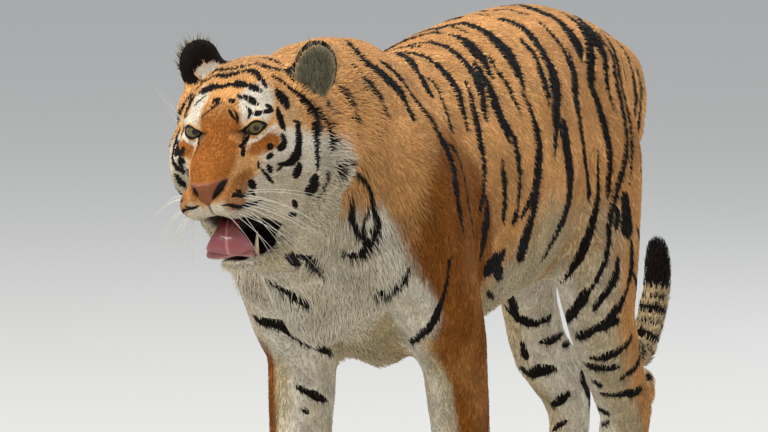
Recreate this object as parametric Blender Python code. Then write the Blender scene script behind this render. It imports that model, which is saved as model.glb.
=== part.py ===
# A life-size standing tiger, walking slowly with its mouth open and its tongue out.
# It faces -Y, its left side is +X and its soles rest on z = 0. Lengths are in metres.
import math
from collections import namedtuple

import bmesh
import bpy
import numpy as np
from mathutils import Euler, Matrix, Vector

CHEST_FLOOR = 0.421         # underside of the chest between the forelegs
TAIL_BASE_Y = 0.89          # the trunk's length behind the shoulder hump

HEAD_SEAT = Vector((0.018, -0.505, 0.808))   # midway between the eyes
HEAD_PITCH = math.radians(14)                # the face is lowered by this much
HEAD_YAW = math.radians(1)                   # and turned a little to the animal's left
HEAD_ROLL = math.radians(-5.5)               # its right side hangs a little lower
EYE_SPACING = 0.084
EYE_RADIUS = 0.0165
EYE_DEPTH = 0.004           # how far behind the head frame's origin the eyes' centres are
EYE_RISE = 0.004            # and how far above it
SOLE_TRIM = 0.003           # how much of the rounded soles is cut off flat
FIT = 0.0004                # room round an eye, a tooth and the tongue
HEAD_BACK = -0.342          # Y where the head ends and the neck begins

CUT = 0.0004                # width of the cuts that part the body into its named pieces
VOXEL = 0.006               # grain of the fused body before it is thinned
HEAD_FACES = 1400           # triangles kept on the head
BODY_FACES = 2000           # and on the rest

# Linear colours.
ORANGE = (0.52, 0.22, 0.06)
BROWN = (0.36, 0.15, 0.04)
CREAM = (0.62, 0.55, 0.43)
GREY = (0.36, 0.30, 0.22)
DARK = (0.06, 0.05, 0.04)
EYE_AMBER = (0.22, 0.20, 0.05)
TONGUE_PINK = (0.38, 0.10, 0.10)
TOOTH_IVORY = (0.65, 0.55, 0.33)
COAT = {
    "head": ORANGE, "lower_jaw": CREAM, "ear_left": GREY, "ear_right": DARK, "neck": ORANGE, "chest": ORANGE,
    "loin": ORANGE, "rump": ORANGE, "tail_root": ORANGE, "tail_middle": CREAM, "tail_bend": CREAM,
    "tail_tip": DARK, "shoulder_left": BROWN, "shoulder_right": BROWN, "forearm_left": BROWN,
    "forearm_right": CREAM, "forepaw_left": CREAM, "forepaw_right": CREAM, "thigh_left": ORANGE,
    "thigh_right": ORANGE, "shank_left": CREAM, "shank_right": CREAM, "hock_left": CREAM,
    "hock_right": CREAM, "hindpaw_left": CREAM, "hindpaw_right": CREAM,
}

HEAD_TURN = (
    Matrix.Translation(HEAD_SEAT) @ Euler((HEAD_PITCH, HEAD_ROLL, HEAD_YAW), "XYZ").to_matrix().to_4x4()
)

# A limb station: a place on the limb's line, its half width and its half depth.
Station = namedtuple("Station", "x y z wide deep")
# A trunk station: distance behind the shoulder hump, back line, belly line and half width.
Rib = namedtuple("Rib", "y x top bottom wide square")


def clearScene():
    for thing in list(bpy.data.objects):
        bpy.data.objects.remove(thing, do_unlink=True)


def curvePoint(a, b, c, d, t):
    """A place between b and c on the Catmull-Rom curve through four rows of numbers."""
    return 0.5 * (2 * b + (c - a) * t + (2 * a - 5 * b + 4 * c - d) * t**2 + (3 * b - a - 3 * c + d) * t**3)


def between(rows, steps):
    """Rows of numbers joined by a smooth curve, with steps rows to each gap."""
    rows = [np.array(row, float) for row in rows]
    rows = [2 * rows[0] - rows[1], *rows, 2 * rows[-1] - rows[-2]]
    found = []
    for a, b, c, d in zip(rows, rows[1:], rows[2:], rows[3:]):
        found += [curvePoint(a, b, c, d, t) for t in np.arange(steps) / steps]
    return [*found, rows[-2]]


def ovalPoint(angle, square):
    c, s = math.cos(angle), math.sin(angle)
    reach = 2 / square
    return math.copysign(abs(c) ** reach, c), math.copysign(abs(s) ** reach, s)


def skinRings(bm, rings):
    """Rings of points joined into one closed tube."""
    loops = [[bm.verts.new(point) for point in ring] for ring in rings]
    for a, b in zip(loops, loops[1:]):
        for i in range(len(a)):
            j = (i + 1) % len(a)
            bm.faces.new((a[i], a[j], b[j], b[i]))
    bm.faces.new(loops[0][::-1])
    bm.faces.new(loops[-1])


def limb(bm, stations, sides=20, steps=5, turn=Matrix.Identity(4), across=Vector((1, 0, 0))):
    """A tube of oval sections along the stations, each set square to the line."""
    rows = between(stations, steps)
    rings = []
    for i, row in enumerate(rows):
        ahead = rows[min(i + 1, len(rows) - 1)][:3]
        behind = rows[max(i - 1, 0)][:3]
        along = Vector(ahead - behind).normalized()
        side = (across - along * across.dot(along)).normalized()
        front = along.cross(side)
        centre = Vector(row[:3])
        ring = []
        for k in range(sides):
            angle = 2 * math.pi * k / sides
            ring.append(
                turn @ (centre + side * row[3] * math.cos(angle) + front * row[4] * math.sin(angle))
            )
        rings.append(ring)
    skinRings(bm, rings)


def barrel(bm, ribs, sides=36, steps=4, turn=Matrix.Identity(4)):
    """A body along Y whose back line and belly line are given separately."""
    rings = []
    for y, x, top, bottom, wide, square in between(ribs, steps):
        middle = bottom + 0.52 * (top - bottom)
        ring = []
        for k in range(sides):
            c, s = ovalPoint(2 * math.pi * k / sides, square)
            height = top - middle if s > 0 else middle - bottom
            ring.append(turn @ Vector((x + wide * c, y, middle + height * s)))
        rings.append(ring)
    skinRings(bm, rings)


def blob(bm, centre, radii, tilt=(0, 0, 0), turn=Matrix.Identity(4), segments=20, rings=12):
    """A muscle, pad or ball: an ellipsoid with its own tilt in degrees."""
    spin = Euler([math.radians(angle) for angle in tilt], "XYZ").to_matrix().to_4x4()
    place = turn @ Matrix.Translation(centre) @ spin @ Matrix.Diagonal((*radii, 1))
    bmesh.ops.create_uvsphere(bm, u_segments=segments, v_segments=rings, radius=1, matrix=place)


# ---- trunk and neck ----

TRUNK = (
    Rib(-0.225, 0.020, 0.790, 0.575, 0.070, 2.0),
    Rib(-0.170, 0.018, 0.862, 0.530, 0.098, 1.8),
    Rib(-0.080, 0.015, 0.880, CHEST_FLOOR + 0.062, 0.120, 1.6),
    Rib(0.030, 0.013, 0.876, CHEST_FLOOR, 0.138, 1.6),
    Rib(0.150, 0.005, 0.873, CHEST_FLOOR + 0.010, 0.156, 1.8),
    Rib(0.300, 0.000, 0.886, 0.448, 0.166, 2.1),
    Rib(0.450, 0.000, 0.903, 0.470, 0.164, 2.1),
    Rib(0.580, 0.000, 0.910, 0.478, 0.150, 2.1),
    Rib(0.690, 0.000, 0.908, 0.500, 0.140, 2.1),
    Rib(0.790, 0.000, 0.893, 0.580, 0.130, 2.0),
    Rib(0.870, 0.000, 0.868, 0.650, 0.115, 2.0),
    Rib(TAIL_BASE_Y + 0.02, 0.000, 0.834, 0.700, 0.078, 2.0),
)

NECK = (
    Station(0.004, 0.060, 0.738, 0.100, 0.134),
    Station(0.006, -0.060, 0.748, 0.110, 0.164),
    Station(0.008, -0.170, 0.746, 0.113, 0.170),
    Station(0.010, -0.270, 0.744, 0.110, 0.162),
    Station(0.012, -0.360, 0.755, 0.104, 0.138),
    Station(0.015, -0.430, 0.772, 0.085, 0.092),
)


def buildTrunk(bm):
    barrel(bm, TRUNK)
    limb(bm, NECK, sides=28)
    # shoulder blades, the near one lower and further forward, with the muscles below and in front of them
    for side, blade, bladeTop, outer in ((1, -0.030, 0.760, 0.100), (-1, -0.010, 0.792, 0.094)):
        blob(bm, (side * 0.064, blade, bladeTop), (0.046, 0.110, 0.115), (12, side * -8, 0))
        blob(bm, (side * outer * 1.2, -0.020, 0.660), (0.046, 0.115, 0.160), (10, side * -4, 0))
        blob(bm, (side * outer * 0.8, -0.140, 0.625), (0.052, 0.076, 0.105), (-14, 0, side * 10))
        blob(bm, (side * 0.080, 0.700, 0.800), (0.062, 0.120, 0.080), (-12, 0, 0))
        blob(bm, (side * 0.078, 0.862, 0.735), (0.050, 0.082, 0.108), (-10, 0, 0))
    blob(bm, (0.014, -0.165, 0.565), (0.068, 0.070, 0.090), (-18, 0, 0))
    blob(bm, (0.014, -0.200, 0.620), (0.074, 0.065, 0.110), (-24, 0, 0))


# ---- legs ----

# A leg's own pose and build: how far its foot stands inwards of the hip or shoulder, its girth against
# the ordinary one, and how far back its joints stand: elbow, wrist and paw, or knee, hock, instep and paw.
Foreleg = namedtuple("Foreleg", "side inset lean girth elbow wrist paw")
Hindleg = namedtuple("Hindleg", "side inset girth knee hock instep paw")
FORELEGS = (
    Foreleg(1, 0.000, -0.004, 0.91, 0.070, 0.125, 0.100),
    Foreleg(-1, 0.021, 0.022, 0.98, 0.020, -0.030, -0.080),
)
HINDLEGS = (
    Hindleg(1, -0.006, 1.00, 0.606, 0.822, 0.770, 0.725),
    Hindleg(-1, 0.056, 0.86, 0.892, 1.010, 0.985, 0.935),
)
HIP = 0.700                 # how far back the hips are
FOREPAW_HALF = 0.058
HINDPAW_HALF = 0.052


def buildForeleg(bm, leg):
    side, lean, elbow, wrist, paw = leg.side, leg.lean, leg.elbow, leg.wrist, leg.paw
    spread = 0.118 - leg.inset
    slim = leg.girth
    limb(bm, (
        Station(side * spread, -0.030, 0.720, 0.048, 0.105),
        Station(side * (spread + 0.006), -0.050, 0.620, 0.053, 0.110),
        Station(side * (spread + 0.004), (elbow - 0.040) * 0.6, 0.530, 0.055 * slim, 0.096),
        Station(side * (spread - 0.2 * lean), elbow, 0.455, 0.053 * slim, 0.074),
        Station(side * (spread - 0.4 * lean), 0.72 * elbow + 0.28 * wrist, 0.390, 0.050 * slim, 0.060),
        Station(side * (spread - 0.6 * lean), 0.40 * elbow + 0.60 * wrist, 0.300, 0.045 * slim, 0.050),
        Station(side * (spread - 0.8 * lean), wrist, 0.200, 0.041 * slim, 0.046),
        Station(side * (spread - 0.9 * lean), 0.6 * wrist + 0.4 * paw + 0.006, 0.130, 0.043, 0.046),
        Station(side * (spread - lean), paw + 0.015, 0.070, 0.048, 0.052),
        Station(side * (spread - lean), paw - 0.005, 0.032, 0.046, 0.060),
    ))
    buildPaw(bm, side * (spread - lean), paw, FOREPAW_HALF)


def buildHindleg(bm, leg):
    side, inset, knee, hock, instep, paw = leg.side, leg.inset, leg.knee, leg.hock, leg.instep, leg.paw
    slim = leg.girth
    stifle = side * (0.122 - 0.5 * inset)
    limb(bm, (
        Station(side * 0.074, HIP + 0.020, 0.795, 0.060, 0.105),
        Station(side * 0.100, HIP, 0.700, 0.066, 0.134),
        Station(side * 0.115, 0.45 * HIP + 0.55 * knee + 0.030, 0.590, 0.064, 0.118 * slim),
        Station(stifle, 0.1 * HIP + 0.9 * knee + 0.038, 0.500, 0.058 * slim, 0.106 * slim),
        Station(stifle, 0.8 * knee + 0.2 * hock + 0.030, 0.420, 0.050 * slim, 0.076 * slim),
        Station(side * (0.119 - 0.6 * inset), 0.42 * knee + 0.58 * hock + 0.006, 0.345, 0.044, 0.061),
        Station(side * (0.112 - inset), 0.08 * knee + 0.92 * hock, 0.275, 0.041, 0.053),
        Station(side * (0.104 - inset), 0.82 * hock + 0.18 * instep, 0.220, 0.040 * slim, 0.046 * slim),
        Station(side * (0.106 - inset), 0.3 * hock + 0.7 * instep, 0.140, 0.039 * slim, 0.042 * slim),
        Station(side * (0.109 - inset), 0.7 * instep + 0.3 * paw, 0.080, 0.042, 0.044),
        Station(side * (0.110 - inset), paw + 0.010, 0.034, 0.042, 0.056),
    ))
    heel = Vector((side * (0.117 - inset), hock + 0.054, 0.300))
    blob(bm, heel, (0.021, 0.026, 0.044), (14, 0, 0))
    buildPaw(bm, side * (0.110 - inset), paw, HINDPAW_HALF)


def buildPaw(bm, x, y, half):
    """A broad heel pad with four toes round its front edge."""
    blob(bm, (x, y + 0.012, 0.030), (half * 0.86, 0.062, 0.034))
    for k, (across, ahead) in enumerate(((-0.66, 0.035), (-0.24, 0.060), (0.24, 0.060), (0.66, 0.035))):
        blob(
            bm,
            (x + across * half, y - ahead, 0.0235),
            (half * 0.34, 0.036, 0.0285),
            (0, 0, across * 16),
            segments=16,
            rings=10,
        )
    blob(bm, (x, y - 0.030, 0.036), (half * 0.70, 0.046, 0.026), (8, 0, 0))


# ---- tail ----

TAIL = (
    Station(0.000, TAIL_BASE_Y - 0.06, 0.785, 0.046, 0.050),
    Station(0.002, TAIL_BASE_Y + 0.03, 0.735, 0.036, 0.038),
    Station(0.008, TAIL_BASE_Y + 0.070, 0.650, 0.030, 0.031),
    Station(0.016, TAIL_BASE_Y + 0.088, 0.545, 0.027, 0.028),
    Station(0.024, TAIL_BASE_Y + 0.103, 0.440, 0.026, 0.027),
    Station(0.031, TAIL_BASE_Y + 0.133, 0.358, 0.0255, 0.026),
    Station(0.038, TAIL_BASE_Y + 0.186, 0.320, 0.0255, 0.0255),
    Station(0.042, TAIL_BASE_Y + 0.217, 0.343, 0.0255, 0.0255),
    Station(0.048, TAIL_BASE_Y + 0.245, 0.396, 0.0255, 0.0255),
    Station(0.051, TAIL_BASE_Y + 0.252, 0.445, 0.0250, 0.0250),
    Station(0.051, TAIL_BASE_Y + 0.247, 0.487, 0.0215, 0.0215),
    Station(0.051, TAIL_BASE_Y + 0.244, 0.504, 0.0120, 0.0120),
)


def buildTail(bm):
    limb(bm, TAIL, sides=16)


# ---- head, in its own frame: the eyes on z = 0, the nose towards -Y ----

SKULL = (
    Rib(-0.111, 0, -0.040, -0.066, 0.014, 2.0),
    Rib(-0.103, 0, -0.033, -0.080, 0.024, 2.2),
    Rib(-0.084, 0, -0.027, -0.088, 0.030, 2.3),
    Rib(-0.058, 0, -0.016, -0.092, 0.035, 2.3),
    Rib(-0.034, 0, -0.002, -0.100, 0.045, 2.1),
    Rib(-0.006, 0, 0.022, -0.113, 0.063, 2.0),
    Rib(0.026, 0, 0.048, -0.130, 0.081, 2.0),
    Rib(0.062, 0, 0.064, -0.136, 0.094, 2.0),
    Rib(0.105, 0, 0.068, -0.134, 0.100, 2.0),
    Rib(0.148, 0, 0.062, -0.122, 0.096, 2.0),
    Rib(0.185, 0, 0.048, -0.100, 0.088, 2.0),
)

JAW = (
    Rib(-0.091, 0.017, -0.146, -0.158, 0.015, 2.3),
    Rib(-0.081, 0.017, -0.145, -0.166, 0.026, 2.3),
    Rib(-0.055, 0.015, -0.149, -0.176, 0.032, 2.3),
    Rib(-0.020, 0.010, -0.156, -0.187, 0.041, 2.1),
    Rib(0.020, 0.005, -0.144, -0.192, 0.053, 2.0),
    Rib(0.065, 0, -0.105, -0.172, 0.067, 2.0),
)

NOSE_BRIDGE = (
    Station(0, 0.030, 0.024, 0.030, 0.020),
    Station(0, -0.010, -0.004, 0.024, 0.020),
    Station(0, -0.050, -0.024, 0.0225, 0.020),
    Station(0, -0.086, -0.039, 0.0235, 0.020),
    Station(0, -0.105, -0.049, 0.020, 0.017),
)

# The upper lip's edge from the whisker pad back to the corner of the mouth, on one side.
LIP = (
    Station(0.026, -0.074, -0.076, 0.016, 0.018),
    Station(0.035, -0.040, -0.088, 0.017, 0.021),
    Station(0.043, -0.004, -0.106, 0.018, 0.022),
    Station(0.050, 0.034, -0.121, 0.021, 0.026),
    Station(0.044, 0.076, -0.118, 0.019, 0.022),
)

TONGUE = (
    Station(-0.002, 0.036, -0.124, 0.0170, 0.0090),
    Station(-0.002, 0.004, -0.116, 0.0170, 0.0090),
    Station(0.001, -0.030, -0.112, 0.0160, 0.0090),
    Station(0.008, -0.058, -0.110, 0.0155, 0.0085),
    Station(0.0145, -0.077, -0.112, 0.0165, 0.0080),
    Station(0.0175, -0.089, -0.1165, 0.0250, 0.0080),
    Station(0.0185, -0.0945, -0.123, 0.0310, 0.0078),
    Station(0.0180, -0.0950, -0.131, 0.0330, 0.0072),
    Station(0.0170, -0.0930, -0.138, 0.0310, 0.0055),
    Station(0.0165, -0.0920, -0.1405, 0.0200, 0.0035),
)


def buildHead(bm):
    barrel(bm, SKULL, sides=32, turn=HEAD_TURN)
    limb(bm, NOSE_BRIDGE, turn=HEAD_TURN)
    for side in (1, -1):
        blob(bm, (side * 0.0215, -0.076, -0.068), (0.023, 0.033, 0.024), (0, 0, side * 22), HEAD_TURN)
        blob(bm, (side * 0.040, 0.010, 0.020), (0.030, 0.022, 0.011), (0, side * 14, side * 22), HEAD_TURN)
        blob(bm, (side * 0.055, 0.022, -0.028), (0.026, 0.036, 0.026), (0, 0, side * 30), HEAD_TURN)
        blob(bm, (side * 0.074, 0.072, -0.060), (0.036, 0.062, 0.062), (0, 0, side * 14), HEAD_TURN)
        blob(bm, (side * 0.084, 0.112, -0.072), (0.041, 0.052, 0.064), (14, side * 14, 0), HEAD_TURN)
        blob(bm, (side * 0.073, 0.104, -0.010), (0.032, 0.048, 0.050), (0, side * 10, 0), HEAD_TURN)
        limb(bm, [Station(side * lip.x, *lip[1:]) for lip in LIP], turn=HEAD_TURN)
    blob(bm, (0, -0.101, -0.046), (0.022, 0.014, 0.014), (0, 0, 0), HEAD_TURN)
    blob(bm, (0, 0.036, 0.022), (0.052, 0.050, 0.032), (0, 0, 0), HEAD_TURN)
    barrel(bm, JAW, turn=HEAD_TURN)


# An ear is a rounded cup: where it sits, how it is turned outwards, how it leans and its half height.
Ear = namedtuple("Ear", "place turn lean tall")
LEFT_EAR = Ear((0.094, 0.118, 0.0425), 28, (-8, 18), 0.045)
RIGHT_EAR = Ear((-0.072, 0.122, 0.061), -138, (-16, -6), 0.040)


def earPlace(ear):
    return (
        HEAD_TURN
        @ Matrix.Translation(ear.place)
        @ Matrix.Rotation(math.radians(ear.lean[1]), 4, "Y")
        @ Matrix.Rotation(math.radians(ear.turn), 4, "Z")
        @ Matrix.Rotation(math.radians(ear.lean[0]), 4, "X")
    )


def buildEar(bm, ear):
    blob(bm, (0, 0, 0), (0.033, 0.017, ear.tall), turn=earPlace(ear))


def earHollow(bm, ear):
    blob(bm, (0, -0.017, 0.000), (0.0262, 0.018, ear.tall - 0.011), turn=earPlace(ear), segments=14, rings=8)


def earBowl(bm, ear):
    """Rounds off the ear from the head: everything inside it belongs to the ear."""
    blob(bm, (0, 0, 0.006), (0.044, 0.030, ear.tall + 0.010), turn=earPlace(ear), segments=14, rings=8)


# ---- parting: thin cuts that divide the fused body ----

# A slice is a flat disc: its centre, the way it faces and its radius.
Slice = namedtuple("Slice", "centre normal radius")
# A socket is the wall round an upper leg: how deep in it starts and its outline from the side, as (y, z).
Socket = namedtuple("Socket", "inner outer outline")

BODY_SLICES = (
    Slice((0.010, -0.180, 0.730), (0, -0.95, 0.31), 0.27),
    Slice((0.000, 0.290, 0.680), (0, 1, 0), 0.33),
    Slice((0.000, 0.475, 0.700), (0, 1, 0), 0.33),
    Slice((0.011, TAIL_BASE_Y + 0.079, 0.600), (0, 0.15, -0.99), 0.045),
    Slice((0.018, TAIL_BASE_Y + 0.092, 0.520), (0, 0.13, -0.99), 0.040),
    Slice((0.034, TAIL_BASE_Y + 0.155, 0.335), (0, 0.75, -0.66), 0.036),
    Slice((0.048, TAIL_BASE_Y + 0.242, 0.370), (0, 0.25, 0.97), 0.038),
    Slice((0.116, 0.115, 0.105), (0, 0.25, 1), 0.080),
    Slice((-0.076, -0.045, 0.105), (0, -0.25, 1), 0.075),
    Slice((0.118, 0.805, 0.298), (0, -0.60, 0.80), 0.090),
    Slice((-0.060, 1.000, 0.290), (0, -0.60, 0.80), 0.085),
    Slice((0.113, 0.761, 0.098), (0, -0.25, 1), 0.072),
    Slice((-0.054, 0.965, 0.095), (0, -0.30, 1), 0.070),
)
SHOULDER = ((0.00, 0.785), (-0.12, 0.700), (-0.150, 0.580), (-0.105, 0.450), (-0.020, 0.405))
SOCKETS = (
    Socket(0.056, 0.26, (*SHOULDER, (0.110, 0.402), (0.178, 0.450), (0.155, 0.570), (0.105, 0.710))),
    Socket(-0.034, -0.26, (*SHOULDER, (0.060, 0.402), (0.125, 0.450), (0.140, 0.570), (0.100, 0.710))),
    Socket(0.026, 0.26, ((0.72, 0.800), (0.585, 0.740), (0.525, 0.610), (0.500, 0.450), (0.600, 0.395),
                         (0.760, 0.450), (0.865, 0.560), (0.880, 0.690), (0.820, 0.770))),
    Socket(-0.034, -0.26, ((0.73, 0.800), (0.600, 0.740), (0.550, 0.610), (0.600, 0.470), (0.700, 0.415),
                           (0.860, 0.430), (0.940, 0.545), (0.900, 0.690), (0.830, 0.770))),
)

# Each piece of the body is named by the nearest of these places.
BODY_SEATS = {
    "neck": (0.006, -0.224, 0.748),
    "chest": (0.007, 0.060, 0.600),
    "loin": (0.000, 0.430, 0.684),
    "rump": (0.000, 0.720, 0.740),
    "tail_root": (0.014, 0.975, 0.560),
    "tail_middle": (0.027, 1.009, 0.417),
    "tail_bend": (0.043, 1.098, 0.337),
    "tail_tip": (0.049, 1.140, 0.416),
    "shoulder_left": (0.123, 0.010, 0.570),
    "shoulder_right": (-0.110, -0.010, 0.570),
    "forearm_left": (0.116, 0.110, 0.240),
    "forearm_right": (-0.090, -0.020, 0.240),
    "forepaw_left": (0.122, 0.089, 0.050),
    "forepaw_right": (-0.075, -0.076, 0.053),
    "thigh_left": (0.107, 0.694, 0.602),
    "thigh_right": (-0.105, 0.740, 0.614),
    "shank_left": (0.120, 0.725, 0.380),
    "shank_right": (-0.096, 0.921, 0.411),
    "hock_left": (0.113, 0.808, 0.200),
    "hock_right": (-0.058, 1.000, 0.200),
    "hindpaw_left": (0.115, 0.725, 0.046),
    "hindpaw_right": (-0.053, 0.930, 0.046),
}
HEAD_SEATS = {
    "head": (0.000, 0.050, -0.020),
    "lower_jaw": (0.000, -0.030, -0.160),
    "ear_left": (0.094, 0.118, 0.060),
    "ear_right": (-0.072, 0.122, 0.083),
}


def ownObject(name, bm, turn=Matrix.Identity(4)):
    bmesh.ops.recalc_face_normals(bm, faces=bm.faces)
    mesh = bpy.data.meshes.new(name)
    bm.to_mesh(mesh)
    bm.free()
    mesh.transform(turn)
    made = bpy.data.objects.new(name, mesh)
    bpy.context.collection.objects.link(made)
    return made


def cutterOf(name, bm, turn=Matrix.Identity(4)):
    made = ownObject(name, bm, turn)
    made.hide_render = True
    made.display_type = "WIRE"
    return made


def applyModifiers(thing):
    """Keeps the object's evaluated mesh and drops its modifiers."""
    graph = bpy.context.evaluated_depsgraph_get()
    mesh = bpy.data.meshes.new_from_object(thing.evaluated_get(graph))
    thing.modifiers.clear()
    thing.data = mesh
    return mesh


def sliceCutter(piece):
    bm = bmesh.new()
    turn = Vector(piece.normal).to_track_quat("Z", "Y").to_matrix().to_4x4()
    place = Matrix.Translation(piece.centre) @ turn
    bmesh.ops.create_cone(
        bm, cap_ends=True, segments=16, radius1=piece.radius, radius2=piece.radius, depth=CUT, matrix=place
    )
    return cutterOf("cut", bm)


def shellOf(solid):
    """Leaves only a thin wall of a solid."""
    wall = solid.modifiers.new("wall", "SOLIDIFY")
    wall.thickness = CUT
    wall.offset = -1
    applyModifiers(solid)
    return solid


def socketCutter(socket):
    """The thin wall of a block whose side outline is a smooth closed curve."""
    points = [np.array(point, float) for point in socket.outline]
    count = len(points)
    ring = []
    for i in range(count):
        a, b, c, d = (points[(i + k) % count] for k in (-1, 0, 1, 2))
        ring += [curvePoint(a, b, c, d, t) for t in (0, 1 / 3, 2 / 3)]
    bm = bmesh.new()
    skinRings(bm, [[(x, y, z) for y, z in ring] for x in (socket.inner, socket.outer)])
    return shellOf(cutterOf("cut", bm))


def blobCutter(centre, radii, tilt=(0, 0, 0), turn=Matrix.Identity(4)):
    bm = bmesh.new()
    blob(bm, centre, radii, tilt, turn, segments=14, rings=8)
    return cutterOf("cut", bm)


def boxCutter(centre, size, tilt=0.0, turn=Matrix.Identity(4)):
    bm = bmesh.new()
    place = turn @ Matrix.Translation(centre) @ Matrix.Rotation(tilt, 4, "X") @ Matrix.Diagonal((*size, 1))
    bmesh.ops.create_cube(bm, size=1, matrix=place)
    return cutterOf("cut", bm)


def halfOf(source, name, centre, normal):
    """A copy of the part of an object behind a plane, closed with a flat face."""
    bm = bmesh.new()
    bm.from_mesh(source.data)
    everything = bm.verts[:] + bm.edges[:] + bm.faces[:]
    cut = bmesh.ops.bisect_plane(bm, geom=everything, plane_co=centre, plane_no=normal, clear_outer=True)
    rim = [item for item in cut["geom_cut"] if isinstance(item, bmesh.types.BMEdge)]
    bmesh.ops.holes_fill(bm, edges=rim)
    bmesh.ops.triangulate(bm, faces=bm.faces[:])
    return ownObject(name, bm)


def thinTo(thing, faces):
    thin = thing.modifiers.new("thin", "DECIMATE")
    thin.ratio = faces / len(thing.data.polygons)
    applyModifiers(thing)


SOFTNESS = {"face": 0.12, "head": 0.25, "paw": 0.08, "tail": 0.08, "leg": 0.35, "trunk": 1.0}
PAW_TOP = 0.10
LEG_TOP = 0.42


def softness(point):
    """How much the fused surface is eased at a point: the trunk most, the face, ears and toes least."""
    inHead = HEAD_TURN.inverted() @ point
    if inHead.y < 0.15:
        onEar = inHead.y > 0.08 and inHead.z > 0
        return SOFTNESS["face" if onEar or inHead.y < -0.03 else "head"]
    if point.z < PAW_TOP:
        return SOFTNESS["paw"]
    if point.y > TAIL_BASE_Y + 0.06 and point.x > -0.02:
        return SOFTNESS["tail"]
    return SOFTNESS["trunk" if point.z > LEG_TOP else "leg"]


def fuseBody():
    bm = bmesh.new()
    buildTrunk(bm)
    for leg in FORELEGS:
        buildForeleg(bm, leg)
    for leg in HINDLEGS:
        buildHindleg(bm, leg)
    buildTail(bm)
    buildHead(bm)
    buildEar(bm, LEFT_EAR)
    buildEar(bm, RIGHT_EAR)
    fused = ownObject("flesh", bm)
    fuse = fused.modifiers.new("fuse", "REMESH")
    fuse.mode = "VOXEL"
    fuse.voxel_size = VOXEL
    applyModifiers(fused)
    group = fused.vertex_groups.new(name="soft")
    for vertex in fused.data.vertices:
        group.add([vertex.index], softness(vertex.co), "REPLACE")
    ease = fused.modifiers.new("ease", "SMOOTH")
    ease.factor = 0.5
    ease.iterations = 80
    ease.vertex_group = "soft"
    applyModifiers(fused)
    return fused


def carve(target, cutters):
    """Everything the cutters fill is taken out of the target."""
    group = bpy.data.collections.new("cutters")
    for cutter in cutters:
        group.objects.link(cutter)
    cut = target.modifiers.new("cut", "BOOLEAN")
    cut.operation = "DIFFERENCE"
    cut.operand_type = "COLLECTION"
    cut.collection = group
    applyModifiers(target)
    bpy.data.collections.remove(group)
    for cutter in cutters:
        bpy.data.objects.remove(cutter, do_unlink=True)


def loosePieces(thing):
    """The separate closed bodies of a mesh, each as its own bmesh, with its centre."""
    bm = bmesh.new()
    bm.from_mesh(thing.data)
    bm.verts.ensure_lookup_table()
    label = {}
    pieces = []
    for start in bm.verts:
        if start.index in label:
            continue
        stack, members = [start], []
        label[start.index] = len(pieces)
        while stack:
            vertex = stack.pop()
            members.append(vertex.index)
            for edge in vertex.link_edges:
                other = edge.other_vert(vertex)
                if other.index not in label:
                    label[other.index] = len(pieces)
                    stack.append(other)
        pieces.append(members)
    found = []
    for members in pieces:
        keep = set(members)
        piece = bm.copy()
        piece.verts.ensure_lookup_table()
        bmesh.ops.delete(piece, geom=[v for v in piece.verts if v.index not in keep], context="VERTS")
        middle = sum((v.co for v in piece.verts), Vector()) / len(piece.verts)
        found.append((middle, piece))
    bm.free()
    return found


# ---- eyes, tongue and the two lower canines ----

# The cut that frees the lower jaw: centre, size and tilt of a thin plate, in the head's frame.
JAW_CUT = ((0, 0.030, -0.183), (0.30, 0.150, CUT), math.radians(-42))

# The opening between the lids: where it is cut from the eye, its half sizes and its tilt in degrees.
EYE_SLIT_PLACE = (0.002, -0.020, 0)
EYE_SLIT_RADII = (0.0155, 0.022, 0.0092)
EYE_SLIT_TILT = (0, -16, 18)

EYE_SIDES = {"left": 1, "right": -1}
CANINE = Vector((0.0185, -0.045, -0.158))    # its root, out from the middle of the lower jaw
CANINE_TALL = 0.032
JAW_MIDDLE = 0.0135                          # the jaw hangs a little to the animal's left
CANINE_RADIUS = 0.0048


def eyeCentre(side):
    return side * EYE_SPACING / 2, EYE_DEPTH, EYE_RISE


def tongueShape(bm, more):
    limb(bm, [Station(*t[:3], t.wide + more, t.deep + more) for t in TONGUE], 12, 2, HEAD_TURN)


def canineShape(bm, side, more):
    """A blunt curved cone, its root sunk in the jaw."""
    stations = []
    for share, girth in ((0.0, 0.90), (0.35, 1.0), (0.60, 0.85), (0.80, 0.62), (0.94, 0.34), (1.0, 0.14)):
        height = share * CANINE_TALL - (more if share == 0 else 0)
        radius = CANINE_RADIUS * girth + more
        across = JAW_MIDDLE + side * (CANINE.x + 0.003 * share)
        back = CANINE.y + 0.005 * share**2
        stations.append(Station(across, back, CANINE.z + height, radius, radius))
    limb(bm, stations, 8, 1, HEAD_TURN)


def shapeCutter(build, *inputs):
    bm = bmesh.new()
    build(bm, *inputs)
    return cutterOf("cut", bm)


def headCutters():
    found = [shapeCutter(earHollow, ear) for ear in (LEFT_EAR, RIGHT_EAR)]
    found += [shellOf(shapeCutter(earBowl, ear)) for ear in (LEFT_EAR, RIGHT_EAR)]
    for side in EYE_SIDES.values():
        x, y, z = eyeCentre(side)
        socket = EYE_RADIUS + FIT
        found.append(blobCutter((x, y, z), (socket, socket, socket), turn=HEAD_TURN))
        slit = (x + side * EYE_SLIT_PLACE[0], y + EYE_SLIT_PLACE[1], z + EYE_SLIT_PLACE[2])
        found.append(blobCutter(slit, EYE_SLIT_RADII, [side * angle for angle in EYE_SLIT_TILT], HEAD_TURN))
        found.append(shapeCutter(canineShape, side, FIT))
    found.append(shapeCutter(tongueShape, FIT))
    found.append(boxCutter(JAW_CUT[0], JAW_CUT[1], JAW_CUT[2], HEAD_TURN))
    return found


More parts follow.
